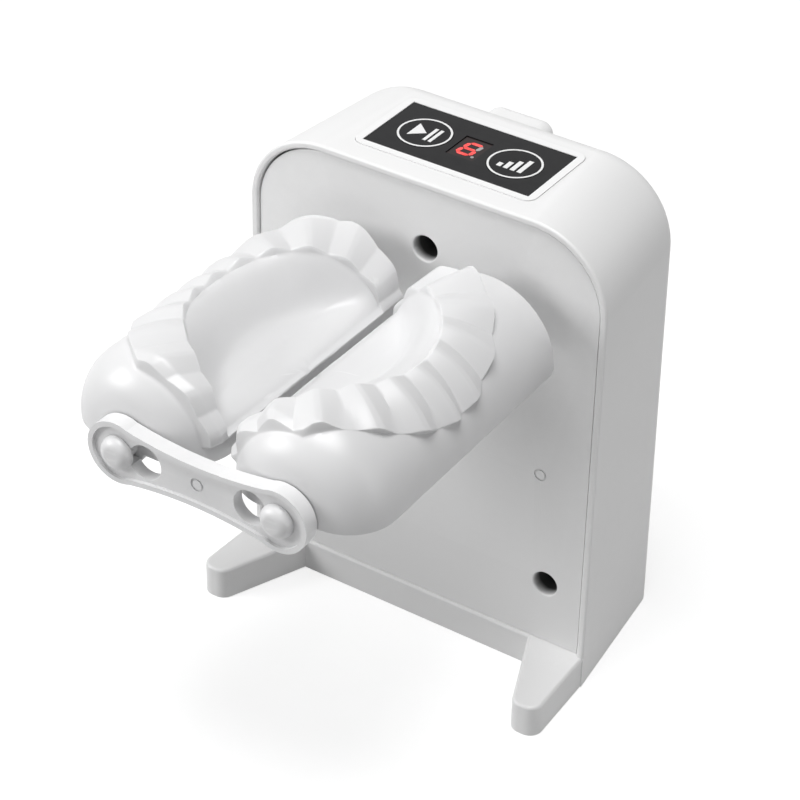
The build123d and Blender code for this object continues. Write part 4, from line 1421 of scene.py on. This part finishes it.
def seen_directly(tree):
    """1 for rays that see a surface straight, in a reflection or through glass."""
    rays = add_node(tree, "ShaderNodeLightPath")
    seen = number(tree, "MAXIMUM", rays.outputs["Is Camera Ray"], rays.outputs["Is Glossy Ray"])
    return number(tree, "MAXIMUM", seen, rays.outputs["Is Transmission Ray"])


class DUMPLING_OT_set_stage(bpy.types.Operator):
    """Set the floor, the soft lamps, the surroundings and the photo's camera"""

    bl_idname = "dumpling.set_stage"
    bl_label = "Set Stage"
    bl_options = {"REGISTER", "UNDO"}

    def execute(self, context):
        sizes = context.scene.dumpling_stage
        self.camera(context, sizes)
        self.surroundings(context, sizes)
        self.floor(sizes)
        for name, place, size, power_setting in LAMPS:
            area_lamp(name, place, size, getattr(sizes, power_setting))
        context.scene.view_settings.view_transform = "Standard"
        return {"FINISHED"}

    def camera(self, context, sizes):
        """The photo's camera, from its angles, its distance and its shift."""
        turn, rise, roll = sizes.azimuth, sizes.elevation, sizes.roll
        back = Vector((math.sin(turn) * math.cos(rise), -math.cos(turn) * math.cos(rise), math.sin(rise)))
        level = Vector((math.cos(turn), math.sin(turn), 0.0))
        upright = back.cross(level)
        right = level * math.cos(roll) + upright * math.sin(roll)
        up = upright * math.cos(roll) - level * math.sin(roll)
        place = right * sizes.shift_right + up * sizes.shift_up + back * sizes.distance
        data = bpy.data.cameras.new("photo_camera")
        data.sensor_width = SENSOR_WIDTH
        data.lens = sizes.lens
        data.clip_end = VIEW_END
        camera = bpy.data.objects.new("photo_camera", data)
        matrix = Matrix((right, up, back)).transposed().to_4x4()
        matrix.translation = place
        camera.matrix_world = matrix
        context.scene.collection.objects.link(camera)
        context.scene.camera = camera

    def surroundings(self, context, sizes):
        """White surroundings: full when seen directly, and only a faint fill as light."""
        world = bpy.data.worlds.new("studio")
        world.use_nodes = True
        context.scene.world = world
        tree = world.node_tree
        tree.nodes.clear()
        shader = add_node(tree, "ShaderNodeBackground")
        shader.inputs["Color"].default_value = opaque(WHITE)
        rest = number(tree, "MULTIPLY", seen_directly(tree), 1.0 - sizes.fill)
        strength = number(tree, "ADD", sizes.fill, rest)
        tree.links.new(strength, shader.inputs["Strength"])
        output = add_node(tree, "ShaderNodeOutputWorld")
        tree.links.new(shader.outputs[0], output.inputs["Surface"])

    def floor(self, sizes):
        """A pale floor that fades into the white surroundings."""
        mesh_data = bmesh.new()
        spots = [
            between(-FLOOR_REACH, FLOOR_REACH, index / FLOOR_STEPS) for index in range(FLOOR_STEPS + 1)
        ]
        grid = [[mesh_data.verts.new((x, y, 0.0)) for y in spots] for x in spots]
        for first, second in zip(grid, grid[1:]):
            join_rows(mesh_data, first, second)
        material, tree, shader, place = fresh_material("stage_floor")
        cloud = noise(tree, place, FLOOR_CLOUD_SCALE)
        pale = tuple(sizes.floor_colour)
        darker = opaque(tinted(pale, FLOOR_DARK_TINT))
        paler = opaque(tinted(pale, FLOOR_PALE_TINT))
        tone = mixed(tree, cloud, darker, paler)
        tree.links.new(tone, shader.inputs["Base Color"])
        shader.inputs["Roughness"].default_value = 0.9
        shader.inputs["Specular IOR Level"].default_value = 0.1
        lift = number(tree, "MULTIPLY", seen_directly(tree), FLOOR_LIFT)
        shader.inputs["Emission Color"].default_value = opaque(WHITE)
        tree.links.new(lift, shader.inputs["Emission Strength"])
        floor = finished_object("stage_floor", mesh_data, material)


# Sidebar


class DUMPLING_PT_looks(bpy.types.Panel):
    """Lists the steps and their settings"""

    bl_idname = "DUMPLING_PT_looks"
    bl_label = "Dumpling Maker"
    bl_space_type = "VIEW_3D"
    bl_region_type = "UI"
    bl_category = "Dumpling"

    def draw(self, context):
        """Draws each operator's button with its settings below it."""
        layout = self.layout
        for operator, name in STEPS:
            box = layout.box()
            box.operator(operator.bl_idname)
            settings = getattr(context.scene, name)
            for key in settings.bl_rna.properties.keys():
                if key not in ("rna_type", "name"):
                    box.prop(settings, key)


STEPS = (
    (DUMPLING_OT_finish_parts, "dumpling_finish"),
    (DUMPLING_OT_make_moulds, "dumpling_mould"),
    (DUMPLING_OT_mark_panel, "dumpling_panel"),
    (DUMPLING_OT_set_stage, "dumpling_stage"),
)


def register():
    """Makes the settings, the operators and the panel known to Blender."""
    for name, group in SETTINGS.items():
        bpy.utils.register_class(group)
        setattr(bpy.types.Scene, name, bpy.props.PointerProperty(type=group))
    for operator, _ in STEPS:
        bpy.utils.register_class(operator)
    bpy.utils.register_class(DUMPLING_PT_looks)


def unregister():
    """Takes them away again."""
    bpy.utils.unregister_class(DUMPLING_PT_looks)
    for operator, _ in reversed(STEPS):
        bpy.utils.unregister_class(operator)
    for name, group in SETTINGS.items():
        delattr(bpy.types.Scene, name)
        bpy.utils.unregister_class(group)


def main():
    """Registers the add-on and makes every piece."""
    register()
    bpy.ops.dumpling.finish_parts()
    bpy.ops.dumpling.make_moulds()
    bpy.ops.dumpling.mark_panel()
    bpy.ops.dumpling.set_stage()
    bpy.context.view_layer.update()


if __name__ == "__main__":
    main()
